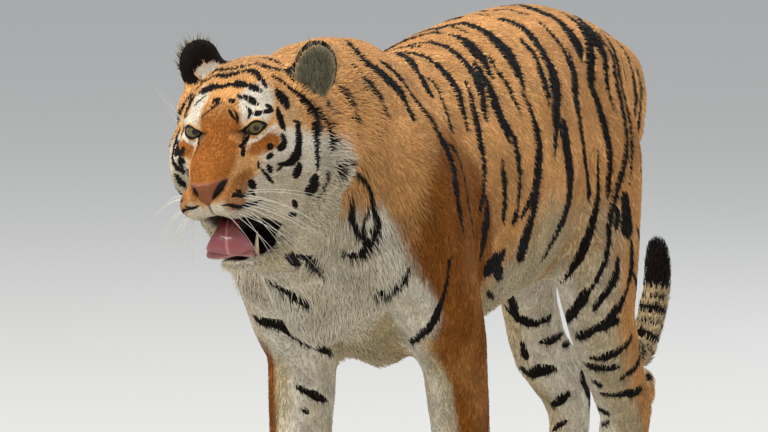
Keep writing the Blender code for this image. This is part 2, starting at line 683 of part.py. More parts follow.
def finish(thing, colour, roughness):
    material = bpy.data.materials.new(thing.name)
    material.use_nodes = True
    surface = material.node_tree.nodes["Principled BSDF"]
    surface.inputs["Base Color"].default_value = (*colour, 1)
    surface.inputs["Roughness"].default_value = roughness
    surface.inputs["Metallic"].default_value = 0
    thing.data.materials.clear()
    thing.data.materials.append(material)
    thing.data.shade_smooth()


def centreOnFloor():
    """Moves every piece so that the origin is on the floor, under the middle of the whole."""
    meshes = [thing.data for thing in bpy.data.objects]
    points = np.array([vertex.co for mesh in meshes for vertex in mesh.vertices])
    low, high = points.min(axis=0), points.max(axis=0)
    move = Vector((-(low[0] + high[0]) / 2, -(low[1] + high[1]) / 2, -low[2]))
    for mesh in meshes:
        mesh.transform(Matrix.Translation(move))


def keepPieces(source, seats, turn):
    """Each loose piece of the source becomes its own object under the nearest seat's name."""
    for middle, bm in loosePieces(source):
        name = min(seats, key=lambda seat: (turn @ Vector(seats[seat]) - middle).length)
        finish(ownObject(name, bm), COAT[name], 0.8)
    bpy.data.objects.remove(source, do_unlink=True)


clearScene()
flesh = fuseBody()
head = halfOf(flesh, "head_part", Vector((0, HEAD_BACK, 0)), Vector((0, 1, 0)))
trunk = halfOf(flesh, "trunk_part", Vector((0, HEAD_BACK + CUT, 0)), Vector((0, -1, 0)))
bpy.data.objects.remove(flesh, do_unlink=True)
thinTo(head, HEAD_FACES)
thinTo(trunk, BODY_FACES)
carve(head, headCutters())
floor = boxCutter((0, 0.3, SOLE_TRIM - 0.05), (1.2, 2.4, 0.1))       # its top trims the soles
cuts = [sliceCutter(piece) for piece in BODY_SLICES] + [socketCutter(socket) for socket in SOCKETS]
carve(trunk, [*cuts, floor])
keepPieces(head, HEAD_SEATS, HEAD_TURN)
keepPieces(trunk, BODY_SEATS, Matrix.Identity(4))

for label, side in EYE_SIDES.items():
    bm = bmesh.new()
    blob(bm, eyeCentre(side), (EYE_RADIUS, EYE_RADIUS, EYE_RADIUS), turn=HEAD_TURN, segments=14, rings=8)
    finish(ownObject("eye_" + label, bm), EYE_AMBER, 0.15)
    bm = bmesh.new()
    canineShape(bm, side, 0)
    finish(ownObject("canine_" + label, bm), TOOTH_IVORY, 0.35)
bm = bmesh.new()
tongueShape(bm, 0)
finish(ownObject("tongue", bm), TONGUE_PINK, 0.45)
centreOnFloor()
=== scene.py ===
# A Bengal tiger, life-size, standing with its mouth open.
import math
import bmesh
import bpy
import numpy as np
from mathutils import Euler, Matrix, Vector
from mathutils.bvhtree import BVHTree


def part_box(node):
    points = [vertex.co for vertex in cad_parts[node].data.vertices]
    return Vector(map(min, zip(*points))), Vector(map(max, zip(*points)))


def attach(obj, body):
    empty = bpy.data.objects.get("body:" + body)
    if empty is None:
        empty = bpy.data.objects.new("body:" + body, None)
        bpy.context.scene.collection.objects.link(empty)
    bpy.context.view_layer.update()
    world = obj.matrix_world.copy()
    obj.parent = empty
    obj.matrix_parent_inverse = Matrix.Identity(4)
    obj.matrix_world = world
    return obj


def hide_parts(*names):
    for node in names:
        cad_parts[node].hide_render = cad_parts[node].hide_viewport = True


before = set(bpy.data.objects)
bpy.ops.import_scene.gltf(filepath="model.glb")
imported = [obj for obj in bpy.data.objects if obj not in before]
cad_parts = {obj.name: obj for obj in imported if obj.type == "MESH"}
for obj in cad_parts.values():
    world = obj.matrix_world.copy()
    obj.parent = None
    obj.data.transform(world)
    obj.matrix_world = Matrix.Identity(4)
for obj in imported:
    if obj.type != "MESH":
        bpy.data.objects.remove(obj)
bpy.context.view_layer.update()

# floor, lamps and camera
stage = {
    "reach": 70.0, "colour": (0.60, 0.60, 0.58), "fleck": 0.97, "fleckScale": 3.0, "roughness": 0.95,
    "sky": (0.92, 0.95, 1.0), "skyStrength": 0.66,
}
view = {"fromHead": (3.0066, -6.8797, 0.678), "turn": 22.0, "dip": 6.0, "lens": 266.25,
        "sensor": 36.0, "reach": 300.0}
lamps = {
    # place, aim, size, power, colour
    "key": ((-3.0, -2.0, 5.4), (0.0, -0.2, 0.6), 2.2, 330, (1.0, 0.96, 0.88)),
    "fill": ((4.2, -5.2, 2.6), (0.0, -0.1, 0.5), 3.4, 46, (1.0, 0.97, 0.93)),
    "rim": ((1.6, 3.8, 3.6), (0.0, 0.3, 0.6), 2.4, 90, (0.93, 0.96, 1.0)),
}

sides = ("left", "right")

# the head's own frame: x to the animal's left, y backward, z up, seated between the eyes
headTurn = np.array(Euler((math.radians(14), math.radians(-5.5), math.radians(1)), "XYZ").to_matrix())
eyeSpots = {side: np.array((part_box("eye_" + side)[0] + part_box("eye_" + side)[1]) / 2) for side in sides}
headSeat = (eyeSpots["left"] + eyeSpots["right"]) / 2 - headTurn @ np.array((0, 0.004, 0.004))
bodySeat = headSeat - np.array((0.018, -0.505, 0.808))     # on the floor under the withers


class Wiring:
    # short ways to add nodes to a tree and to feed their inputs
    def __init__(self, tree):
        self.tree = tree

    def feed(self, node, inputs):
        for slot, value in inputs.items():
            if isinstance(value, bpy.types.NodeSocket):
                self.tree.links.new(value, node.inputs[slot])
            else:
                node.inputs[slot].default_value = value
        return node

    def add(self, kind, inputs, **settings):
        node = self.tree.nodes.new(kind)
        for name, value in settings.items():
            setattr(node, name, value)
        return self.feed(node, inputs)

    def number(self, name, output="Fac"):
        return self.add("ShaderNodeAttribute", {}, attribute_name=name).outputs[output]

    def texture(self, kind, inputs, output):
        place = self.add("ShaderNodeTexCoord", {}).outputs["Object"]
        return self.add("ShaderNodeTex" + kind, {"Vector": place, **inputs}).outputs[output]

    def ranged(self, value, low, high, to=(0.0, 1.0), kind="SMOOTHSTEP"):
        inputs = {"Value": value, "From Min": low, "From Max": high, "To Min": to[0], "To Max": to[1]}
        return self.add("ShaderNodeMapRange", inputs, interpolation_type=kind).outputs["Result"]

    def mixed(self, share, first, second, kind="MIX"):
        inputs = {"Fac": share, "Color1": first, "Color2": second}
        return self.add("ShaderNodeMixRGB", inputs, blend_type=kind).outputs["Color"]

    def bump(self, height, strength, distance):
        inputs = {"Height": height, "Strength": strength, "Distance": distance}
        return self.add("ShaderNodeBump", inputs).outputs["Normal"]


def newMaterial(name, roughness):
    material = bpy.data.materials.new(name)
    material.use_nodes = True
    wiring = Wiring(material.node_tree)
    return material, wiring, wiring.feed(wiring.tree.nodes["Principled BSDF"], {"Roughness": roughness})


def meshPiece(name, points, corners, material=None):
    mesh = bpy.data.meshes.new(name)
    mesh.vertices.add(len(points))
    mesh.vertices.foreach_set("co", np.asarray(points, np.float32).ravel())
    mesh.loops.add(corners.size)
    mesh.loops.foreach_set("vertex_index", corners.astype(np.int32).ravel())
    mesh.polygons.add(len(corners))
    mesh.polygons.foreach_set("loop_start", np.arange(0, corners.size, corners.shape[1], dtype=np.int32))
    mesh.update(calc_edges=True)
    mesh.shade_smooth()
    piece = bpy.data.objects.new(name, mesh)
    bpy.context.scene.collection.objects.link(piece)
    if material:
        mesh.materials.append(material)
    return piece


def buildStage():
    reach = stage["reach"]
    material, wiring, shader = newMaterial("paleFloor", stage["roughness"])
    speckle = wiring.add("ShaderNodeTexNoise", {"Scale": stage["fleckScale"]}).outputs["Fac"]
    dimmer = [c * stage["fleck"] for c in stage["colour"]]
    wiring.feed(shader, {"Base Color": wiring.mixed(speckle, (*stage["colour"], 1), (*dimmer, 1))})
    corners = np.array([(-reach, -reach, 0), (reach, -reach, 0), (reach, reach, 0), (-reach, reach, 0)])
    meshPiece("floor", corners, np.array([(0, 1, 2, 3)]), material)
    world = bpy.data.worlds.new("studio")
    bpy.context.scene.world = world
    world.use_nodes = True
    sky = world.node_tree.nodes["Background"].inputs
    sky["Color"].default_value, sky["Strength"].default_value = (*stage["sky"], 1), stage["skyStrength"]
    for name, (place, aim, size, power, colour) in lamps.items():
        light = bpy.data.lights.new(name, "AREA")
        light.size, light.energy, light.color = size, power, colour
        stand = bpy.data.objects.new(name, light)
        stand.location = place
        stand.rotation_euler = (Vector(aim) - Vector(place)).to_track_quat("-Z", "Y").to_euler()
        bpy.context.scene.collection.objects.link(stand)
    lens = bpy.data.cameras.new("camera")
    lens.lens, lens.sensor_width, lens.clip_end = view["lens"], view["sensor"], view["reach"]
    camera = bpy.data.objects.new("camera", lens)
    camera.location = headSeat + np.array(view["fromHead"])
    camera.rotation_euler = (math.radians(90 - view["dip"]), 0, math.radians(view["turn"]))
    bpy.context.scene.collection.objects.link(camera)
    bpy.context.scene.camera = camera
    bpy.context.scene.view_settings.view_transform = "Standard"


buildStage()
print("stage set")


def toHead(points):
    return (points - headSeat) @ headTurn


def fromHead(points):
    return points @ headTurn.T + headSeat


def ramp(value, low, high):
    t = np.clip((value - low) / (high - low), 0, 1)
    return t * t * (3 - 2 * t)


# the skin: one closed mesh over all the flesh
skinShape = {
    "headCell": 0.0041, "bodyCell": 0.0085, "grow": 0.0015, "neckCut": -0.58, "seam": 0.005,
    "headRounds": 11, "bodyRounds": 22, "headBack": -0.60, "neckFront": -0.56,
}
fleshNodes = [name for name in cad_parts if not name.startswith(("eye_", "canine_", "tongue"))]
headNodes = ["head", "lower_jaw", "ear_left", "ear_right", "neck", "eye_left", "eye_right"]


def voxelSkin(names, cell):
    mesh = bmesh.new()
    for name in names:
        mesh.from_mesh(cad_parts[name].data)
    bmesh.ops.remove_doubles(mesh, verts=mesh.verts, dist=0.00001)
    mesh.normal_update()
    for point in mesh.verts:
        point.co += point.normal * skinShape["grow"]
    data = bpy.data.meshes.new("rough")
    mesh.to_mesh(data)
    mesh.free()
    rough = bpy.data.objects.new("rough", data)
    bpy.context.scene.collection.objects.link(rough)
    remesh = rough.modifiers.new("remesh", "REMESH")
    remesh.mode, remesh.voxel_size, remesh.adaptivity = "VOXEL", cell, 0.0
    made = bpy.data.meshes.new_from_object(rough.evaluated_get(bpy.context.evaluated_depsgraph_get()))
    bpy.data.objects.remove(rough)
    return made


def neighbours(points, corners):
    ends = np.concatenate([corners[:, [0, 1]], corners[:, [1, 2]], corners[:, [2, 0]]])
    ends = np.unique(np.sort(ends, axis=1), axis=0)
    return np.concatenate([ends[:, 0], ends[:, 1]]), np.concatenate([ends[:, 1], ends[:, 0]])


def evenOut(points, corners, rounds, share=None, push=-0.53):
    start, end = neighbours(points, corners)
    count = np.bincount(start, minlength=len(points)).astype(float)[:, None]
    share = 1.0 if share is None else share[:, None]
    for step in range(2 * rounds):
        sums = [np.bincount(start, points[end, k], len(points)) for k in range(3)]
        mean = np.stack(sums, axis=1) / count
        points = points + (0.5 if step % 2 == 0 else push) * share * (mean - points)
    return points


def normalsOf(points, corners):
    a, b, c = (points[corners[:, k]] for k in range(3))
    across = np.cross(b - a, c - a)
    total = np.zeros(points.shape)
    for i in range(3):
        total[:, i] = sum(np.bincount(corners[:, k], across[:, i], len(points)) for k in range(3))
    return total / np.maximum(np.linalg.norm(total, axis=1, keepdims=True), 1e-12)


def eased(values, corners, rounds):
    # a number at every point, spread a little to its neighbours in each round
    start, end = neighbours(values, corners)
    count = np.bincount(start, minlength=len(values))
    for _ in range(rounds):
        values = 0.5 * values + 0.5 * np.bincount(start, values[end], len(values)) / count
    return values


def arraysOf(mesh):
    mesh.calc_loop_triangles()
    points = np.empty(len(mesh.vertices) * 3)
    mesh.vertices.foreach_get("co", points)
    corners = np.empty(len(mesh.loop_triangles) * 3, np.int32)
    mesh.loop_triangles.foreach_get("vertices", corners)
    return points.reshape(-1, 3), corners.reshape(-1, 3)


def joinAtNeck(headMesh, bodyMesh):
    # each is cut on its own side of one plane through the neck, and the two rims are bridged
    mesh = bmesh.new()
    rims = []
    for data, side in ((headMesh, -1), (bodyMesh, 1)):
        before = set(mesh.verts)
        mesh.from_mesh(data)
        new = [v for v in mesh.verts if v not in before]
        edges, faces = {e for v in new for e in v.link_edges}, {f for v in new for f in v.link_faces}
        place = skinShape["neckCut"] + side * skinShape["seam"]
        cut = bmesh.ops.bisect_plane(mesh, geom=[*new, *edges, *faces], dist=1e-6, plane_co=(0, place, 0),
                                     plane_no=(0, 1, 0), clear_outer=side < 0, clear_inner=side > 0)
        rims += [e for e in cut["geom_cut"] if isinstance(e, bmesh.types.BMEdge)]
    bmesh.ops.bridge_loops(mesh, edges=[e for e in rims if e.is_valid and len(e.link_faces) == 1])
    bmesh.ops.triangulate(mesh, faces=mesh.faces)
    bmesh.ops.recalc_face_normals(mesh, faces=mesh.faces)
    print("open edges:", sum(1 for e in mesh.edges if len(e.link_faces) != 2))
    joined = bpy.data.meshes.new("skin")
    mesh.to_mesh(joined)
    mesh.free()
    return joined


def refine(points, corners, wanted):
    # every edge of the wanted triangles is split at its middle, and their neighbours are split to match
    ends = np.sort(np.concatenate([corners[:, [0, 1]], corners[:, [1, 2]], corners[:, [2, 0]]]), axis=1)
    key = ends[:, 0].astype(np.int64) * len(points) + ends[:, 1]
    unique, index = np.unique(key, return_inverse=True)
    split = np.zeros(len(unique), bool)
    split[index[np.tile(wanted, 3)]] = True
    number = np.full(len(unique), -1)
    number[split] = len(points) + np.arange(split.sum())
    middle = (points[unique[split] // len(points)] + points[unique[split] % len(points)]) / 2
    points = np.concatenate([points, middle])
    mid = number[index].reshape(3, -1).T
    made = [corners[(mid < 0).all(axis=1)]]
    count = (mid >= 0).sum(axis=1)
    a, b, c = corners.T
    for turn, (i, j, k) in enumerate(((a, b, c), (b, c, a), (c, a, b))):
        m, n, o = mid[:, turn], mid[:, (turn + 1) % 3], mid[:, (turn + 2) % 3]
        one = (count == 1) & (m >= 0)
        made += [np.stack([i, m, k], 1)[one], np.stack([m, j, k], 1)[one]]
        two = (count == 2) & (o < 0)
        made += [np.stack(t, 1)[two] for t in ((m, j, n), (i, m, n), (i, n, k))]
    whole = count == 3
    m, n, o = mid.T
    made += [np.stack(t, 1)[whole] for t in ((a, m, o), (m, b, n), (o, n, c), (m, n, o))]
    return points, np.concatenate(made)


def buildRawSkin():
    headMesh = voxelSkin(headNodes, skinShape["headCell"])
    points, corners = arraysOf(joinAtNeck(headMesh, voxelSkin(fleshNodes, skinShape["bodyCell"])))
    inHead = ramp(-points[:, 1], -skinShape["neckFront"], -skinShape["headBack"])
    points = evenOut(points, corners, skinShape["headRounds"])
    points = evenOut(points, corners, skinShape["bodyRounds"] - skinShape["headRounds"], share=1 - inHead)
    return points, corners


skinPoints, skinCorners = buildRawSkin()
print("raw skin:", len(skinCorners), "triangles")


# which node of the frame each point of the skin lies on, and how far the coat stands over it
coatDepth = {
    "head": 0.0022, "lower_jaw": 0.0022, "ear_left": 0.0004, "ear_right": 0.0004, "neck": 0.0060,
    "chest": 0.0065, "loin": 0.0040, "rump": 0.0040, "tail_root": 0.0045, "tail_middle": 0.0040,
    "tail_bend": 0.0040, "tail_tip": 0.0045, "shoulder": 0.0038, "forearm": 0.0030, "forepaw": 0.0016,
    "thigh": 0.0038, "shank": 0.0030, "hock": 0.0025, "hindpaw": 0.0016, "eye": 0.0,
}
labelNames = fleshNodes + ["eye_left", "eye_right"]


def labelsOf(points):
    spots, polygons, owner = [], [], []
    for number, name in enumerate(labelNames):
        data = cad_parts[name].data
        start = len(spots)
        spots += [v.co.copy() for v in data.vertices]
        polygons += [[start + i for i in polygon.vertices] for polygon in data.polygons]
        owner += [number] * len(data.polygons)
    tree = BVHTree.FromPolygons(spots, polygons)
    return np.array([owner[tree.find_nearest(Vector(p))[2]] for p in points])


def partShare(labels, corners, *starts, rounds=6):
    # 1 on the nodes whose names start so and 0 elsewhere, eased across their borders
    wanted = [i for i, name in enumerate(labelNames) if name.startswith(starts)]
    return eased(np.isin(labels, wanted).astype(float), corners, rounds)


def family(name):
    return name if name in coatDepth else name.split("_")[0]


def layDown(points, corners):
    depth = np.array([coatDepth[family(name)] for name in labelNames])[labelsOf(points)]
    depth = eased(depth, corners, 10)
    return points - normalsOf(points, corners) * (depth + skinShape["grow"])[:, None]


# features of the face, in the head's frame
face = {
    "eyeRadius": 0.0160, "eyeSunk": 0.0025, "lid": 0.0017, "lidReach": 0.015, "lidEdge": 0.003,
    "lidFold": 0.0006,
    "openAcross": 56, "openUp": 26, "openDown": 22, "upCurve": 2.3, "downCurve": 1.7, "slant": 0.13,
    "noseTop": (0.004, -0.104, -0.038), "noseAcross": 0.025, "noseDrop": 0.027, "noseProud": 0.0035,
    "nostrilDeep": 0.008, "groove": 0.0035, "front": -0.06,
}
eyeAxes = {"left": Vector((0.40, -0.89, 0.16)), "right": Vector((-0.40, -0.89, 0.16))}


def eyeFrame(side):
    forward = np.array(eyeAxes[side].normalized())
    sign = 1 if side == "left" else -1
    across = np.cross((0, 0, 1), forward) * -sign
    across = across / np.linalg.norm(across)
    across = across if across[0] * sign > 0 else -across
    up = np.cross(forward, across)
    up = up / np.linalg.norm(up)
    return forward, across, up if up[2] > 0 else -up


def lidEdge(side, away):
    # how far outside the opening of the lids each direction from the eye's middle lies, in metres
    forward, across, up = eyeFrame(side)
    reach = np.linalg.norm(away, axis=1) + 1e-9
    ahead = away @ forward / reach
    turn = np.degrees(np.arctan2(away @ across / reach, np.maximum(ahead, 1e-6)))
    rise = np.degrees(np.arctan2(away @ up / reach, np.maximum(ahead, 1e-6)))
    part = np.clip(np.abs(turn) / face["openAcross"], 0, 1.6)
    slant = face["slant"] * turn
    high = face["openUp"] * (1 - part ** face["upCurve"]) + slant
    low = -face["openDown"] * (1 - part ** face["downCurve"]) + slant
    outside = np.maximum(rise - high, low - rise)
    outside = np.where(part > 1, np.maximum(outside, (part - 1) * face["openAcross"]), outside)
    outside = np.where(ahead < 0.05, 60, outside)
    return np.radians(outside) * face["eyeRadius"], ahead


def eyeMiddle(side):
    return toHead(eyeSpots[side][None])[0] - np.array(eyeAxes[side].normalized()) * face["eyeSunk"]


def openLids(spots):
    radius, edge = face["eyeRadius"], face["lidEdge"]
    lid = radius + face["lid"]
    for side in sides:
        away = spots - eyeMiddle(side)
        reach = np.linalg.norm(away, axis=1)
        outside, ahead = lidEdge(side, away)
        clear = np.maximum(reach, lid - 0.012 * (1 - ramp(ahead, 0.1, 0.45)))
        wanted = lid + (clear - lid) * ramp(outside, edge, face["lidReach"])
        wanted = np.where(outside < edge, lid + face["lidFold"] * np.sin(outside / edge * np.pi), wanted)
        wanted = np.where(outside < 0, radius - 0.004, wanted)
        target = np.where((reach < 0.040) & (ahead > 0.05), wanted, reach)
        spots = eyeMiddle(side) + away * (target / np.maximum(reach, 1e-9))[:, None]
    return spots


def swell(spots, middle, radius, amount):
    away = (spots - np.array(middle)) / np.array(radius)
    return spots + np.exp(-(away ** 2).sum(axis=1))[:, None] * np.array(amount)


swellings = {
    # middle, radius, push, on both sides of the face
    "muzzle pads": ((0.027, -0.078, -0.070), (0.018, 0.030, 0.020), (0.0035, -0.0045, 0.0005)),
    "lip edge": ((0.020, -0.080, -0.092), (0.016, 0.026, 0.010), (0.001, -0.002, -0.004)),
    "brow": ((0.038, -0.016, 0.036), (0.022, 0.020, 0.012), (0.001, -0.004, 0.002)),
    "cheekbone": ((0.072, 0.004, -0.030), (0.024, 0.030, 0.016), (0.003, -0.003, 0.0)),
    "side of the bridge": ((0.021, -0.050, -0.020), (0.013, 0.038, 0.018), (0.0075, -0.001, 0.003)),
    "beside the nose": ((0.034, -0.050, -0.036), (0.014, 0.026, 0.016), (0.004, -0.003, 0.001)),
    "temple": ((0.070, 0.040, 0.050), (0.020, 0.030, 0.025), (-0.002, 0.0, 0.0)),
    "ruff": ((0.120, 0.100, -0.095), (0.040, 0.050, 0.070), (0.004, 0.0, 0.0)),
}
bridgeSwelling = ((0.0, -0.060, -0.012), (0.016, 0.045, 0.016), (0, -0.002, 0.002))
noseOutline = {"down": (-0.25, 0.0, 0.35, 0.75, 1.05), "width": (0.55, 1.0, 0.86, 0.36, 0.02)}


def nosePlace(spots):
    # across and down the nose leather, each 0 to 1 over it
    across = (spots[:, 0] - face["noseTop"][0]) / face["noseAcross"]
    down = (face["noseTop"][2] - spots[:, 2]) / face["noseDrop"]
    return across, down


def noseShare(spots):
    across, down = nosePlace(spots)
    beside = np.interp(down, noseOutline["down"], noseOutline["width"]) - np.abs(across)
    edge = np.minimum(beside * face["noseAcross"], np.minimum(down + 0.18, 1.08 - down) * face["noseDrop"])
    return np.where(spots[:, 1] < -0.070, edge, -1.0)


def grooveShare(spots, wide, top, bottom):
    # 1 along the groove below the nose, between two depths under the eyes
    middle = np.exp(-((spots[:, 0] - face["noseTop"][0]) / wide) ** 2)
    return middle * ramp(-spots[:, 2], *top) * (1 - ramp(-spots[:, 2], *bottom))


def sculptFace(spots):
    for middle, radius, push in swellings.values():
        for sign in (1, -1):
            spots = swell(spots, (middle[0] * sign, *middle[1:]), radius, (push[0] * sign, *push[1:]))
    spots = swell(spots, *bridgeSwelling)
    pad = noseShare(spots)
    across, down = nosePlace(spots)
    spots = spots + (ramp(pad, -0.001, 0.004) * face["noseProud"])[:, None] * np.array((0, -1, 0.2))
    hook = np.hypot((np.abs(across) - 0.62) * 1.5, (down - 0.42) * 1.1)
    hollow = np.exp(-(hook / 0.36) ** 4) * (pad > -0.003)
    slit = np.exp(-((np.abs(across) - 0.80) / 0.16) ** 2 - ((down - 0.22) / 0.20) ** 2) * (pad > -0.006)
    sink = np.maximum(hollow, 0.8 * slit) * face["nostrilDeep"]
    spots = spots + sink[:, None] * np.array((0, 1, 0.15))
    groove = grooveShare(spots, 0.0022, (0.060, 0.066), (0.084, 0.092)) * (spots[:, 1] < face["front"])
    return spots + groove[:, None] * np.array((0, face["groove"], 0))


def detailFace(points, corners):
    for reach, cell in ((0.070, 0.0028), (0.030, 0.0015)):
        spots = toHead(points)
        middle = spots[corners].mean(axis=1)
        size = np.linalg.norm(spots[corners[:, 0]] - spots[corners[:, 1]], axis=1)
        nearEye = np.minimum(*[np.linalg.norm(middle - eyeMiddle(side), axis=1) for side in sides])
        nearNose = np.linalg.norm((middle - np.array((0.004, -0.10, -0.055))) / (1.1, 1, 1), axis=1)
        wanted = (nearEye < 0.55 * reach + 0.008) | (nearNose < reach + 0.002)
        points, corners = refine(points, corners, wanted & (size > cell * 0.8))
    inFace = (toHead(points)[:, 1] < 0.02) & (points[:, 1] < skinShape["headBack"])
    points = evenOut(points, corners, 3, share=inFace.astype(float))
    sculpted = fromHead(openLids(sculptFace(toHead(points))))
    return np.where((points[:, 1] < skinShape["headBack"])[:, None], sculpted, points), corners


skinPoints = layDown(skinPoints, skinCorners)
skinPoints, skinCorners = detailFace(skinPoints, skinCorners)
print("skin:", len(skinCorners), "triangles")


# marks on the coat
def curveThrough(stops, steps=6):
    # a smooth line through the stops
    stops = np.array(stops, float)
    if len(stops) == 2:
        return stops[0] + (stops[1] - stops[0]) * np.linspace(0, 1, steps + 1)[:, None]
    ends = np.concatenate([[2 * stops[0] - stops[1]], stops, [2 * stops[-1] - stops[-2]]])
    t = np.linspace(0, 1, steps, endpoint=False)[:, None]
    runs = []
    for a, b, c, d in zip(ends, ends[1:], ends[2:], ends[3:]):
        slope, bow, twist = c - a, 2 * a - 5 * b + 4 * c - d, 3 * b - a - 3 * c + d
        runs.append(0.5 * (2 * b + slope * t + bow * t ** 2 + twist * t ** 3))
    return np.concatenate(runs + [stops[-1:]])


# the line of the back: place along the body and height
backLine = np.array([
    (-0.60, 0.905), (-0.50, 0.905), (-0.40, 0.893), (-0.30, 0.888), (-0.20, 0.876),
     (-0.10, 0.866), (0.02, 0.868),
    (0.10, 0.885), (0.20, 0.897), (0.30, 0.907), (0.40, 0.905), (0.50, 0.890), (0.57, 0.866), (0.63, 0.830),
    (0.70, 0.780),
])


def roundFlank(points):
    # how far back a point lies, and how far it is from the line of the back
    top = np.interp(points[:, 1], *backLine.T)
    return np.stack([points[:, 1], np.hypot(points[:, 0], top - points[:, 2])], axis=1)


faceBall = {"middle": (0, 0.07, -0.03), "radius": 0.115, "rise": math.radians(20)}
faceAxis = np.array((0, -math.cos(faceBall["rise"]), math.sin(faceBall["rise"])))
faceUp = np.array((0, math.sin(faceBall["rise"]), math.cos(faceBall["rise"])))


def roundFace(spots):
    # across and up the face from the bridge of the nose, measured round a ball
    away = spots - faceBall["middle"]
    away = away / np.linalg.norm(away, axis=1, keepdims=True)
    angle = np.arccos(np.clip(away @ faceAxis, -1, 1))
    flat = np.stack([away[:, 0], away @ faceUp], axis=1)
    away = np.maximum(np.linalg.norm(flat, axis=1, keepdims=True), 1e-9)
    return faceBall["radius"] * angle[:, None] * flat / away


# flank stripes of the left side, places in millimetres from the middle of the body, each after its width
flankStripes = [
    (14, (23, -108, 904), (46, -130, 895), (63, -139, 882), (74, -132, 870), (93, -76, 834),
     (100, -72, 819), (116, -78, 793)),
    (12, (67, -79, 874), (87, -37, 839), (129, -39, 786), (152, -24, 731), (164, -38, 694),
     (170, -24, 629)),
    (8, (139, -29, 766), (148, 14, 730), (156, 24, 680), (150, 66, 615)),
    (11, (-20, 193, 864), (37, 109, 858), (76, 72, 827), (87, 69, 813)),
    (5, (68, 98, 837), (79, 100, 826), (110, 75, 778), (120, 59, 764)),
    (3, (-21, 232, 868), (-11, 237, 871), (7, 223, 869)),
    (7, (-18, 335, 883), (4, 314, 882)),
    (4, (-12, 387, 890), (28, 350, 883)),
    (8, (66, -186, 879), (84, -186, 856), (96, -169, 833), (106, -161, 802)),
    (7, (82, -272, 853), (89, -260, 843), (105, -264, 803)),
    (12, (5, 271, 875), (56, 245, 859), (96, 219, 826), (126, 175, 773)),
    (12, (6, 180, 865), (23, 179, 863), (45, 168, 856), (60, 168, 846), (90, 149, 820),
     (124, 111, 761)),
    (10, (91, 187, 825), (128, 141, 761), (146, 120, 704), (151, 84, 648)),
    (16, (151, 111, 672), (148, 115, 617), (142, 116, 584)),
    (14, (15, 322, 882), (33, 317, 878), (77, 282, 853), (103, 260, 826)),
    (14, (78, 256, 847), (97, 240, 829), (132, 220, 772), (145, 218, 740)),
    (20, (0, 413, 893), (46, 384, 883), (75, 366, 867), (108, 340, 836), (129, 322, 806)),
    (15, (132, 310, 800), (153, 315, 743), (159, 292, 667), (154, 248, 629)),
    (6, (81, 305, 856), (104, 286, 831), (140, 281, 773)),
    (11, (133, 230, 773), (153, 237, 711), (154, 228, 637), (152, 214, 623)),
    (11, (148, 184, 715), (154, 179, 663), (151, 184, 628)),
    (19, (36, 473, 894), (47, 485, 891), (87, 475, 867), (111, 455, 846), (127, 450, 820),
     (152, 394, 756), (159, 372, 705)),
    (4, (-4, 488, 900), (16, 483, 899)),
    (12, (82, 434, 869), (115, 419, 837), (144, 383, 780)),
    (5, (-5, 570, 902), (8, 580, 902), (31, 562, 899), (40, 576, 897)),
    (18, (5, 647, 903), (42, 625, 897), (66, 635, 885), (101, 615, 855), (116, 602, 828)),
    (15, (64, 560, 886), (104, 550, 851), (120, 540, 827), (126, 544, 815), (143, 506, 772),
     (152, 515, 703), (144, 561, 641), (142, 567, 624)),
    (4, (104, 571, 849), (119, 556, 827), (124, 555, 817)),
    (14, (49, 708, 889), (62, 704, 883), (97, 664, 868), (115, 642, 846), (125, 618, 806),
     (129, 604, 794), (139, 618, 754), (153, 625, 692), (157, 612, 642), (157, 607, 623)),
    (8, (147, 591, 693), (148, 588, 620), (138, 561, 554), (122, 555, 521), (100, 564, 498)),
    (24, (155, 423, 748), (157, 420, 730), (155, 446, 644), (151, 449, 624), (128, 401, 551)),
    (13, (34, 792, 880), (92, 691, 873), (115, 664, 855), (128, 668, 833), (147, 661, 749)),
    (8, (67, 737, 876), (96, 692, 871), (112, 681, 862), (125, 690, 842), (132, 701, 815),
     (160, 682, 702), (162, 612, 607), (163, 592, 544), (154, 573, 504), (135, 565, 475)),
    (11, (142, 566, 487), (132, 565, 470), (118, 573, 454), (89, 620, 430)),
    (26, (169, 650, 621), (173, 652, 584), (174, 643, 570)),
    (11, (166, 627, 604), (167, 615, 575)),
    (9, (50, 760, 884), (85, 735, 872), (118, 722, 845), (135, 722, 800), (148, 718, 750),
     (160, 700, 690), (168, 670, 640)),
    (8, (45, 800, 868), (80, 795, 850), (110, 790, 815), (125, 785, 770), (140, 765, 720), (155, 735, 650)),
    (7, (40, 835, 855), (75, 840, 835), (100, 840, 790), (115, 830, 740), (130, 805, 680), (145, 775, 620)),
    (7, (20, 865, 800), (60, 865, 780), (90, 855, 740), (105, 845, 690), (120, 820, 640)),
    (8, (172, 690, 570), (160, 730, 545), (130, 750, 525)),
    (8, (168, 665, 505), (152, 705, 480), (125, 720, 460)),
    (7, (145, 700, 425), (125, 728, 405), (100, 735, 395)),
]
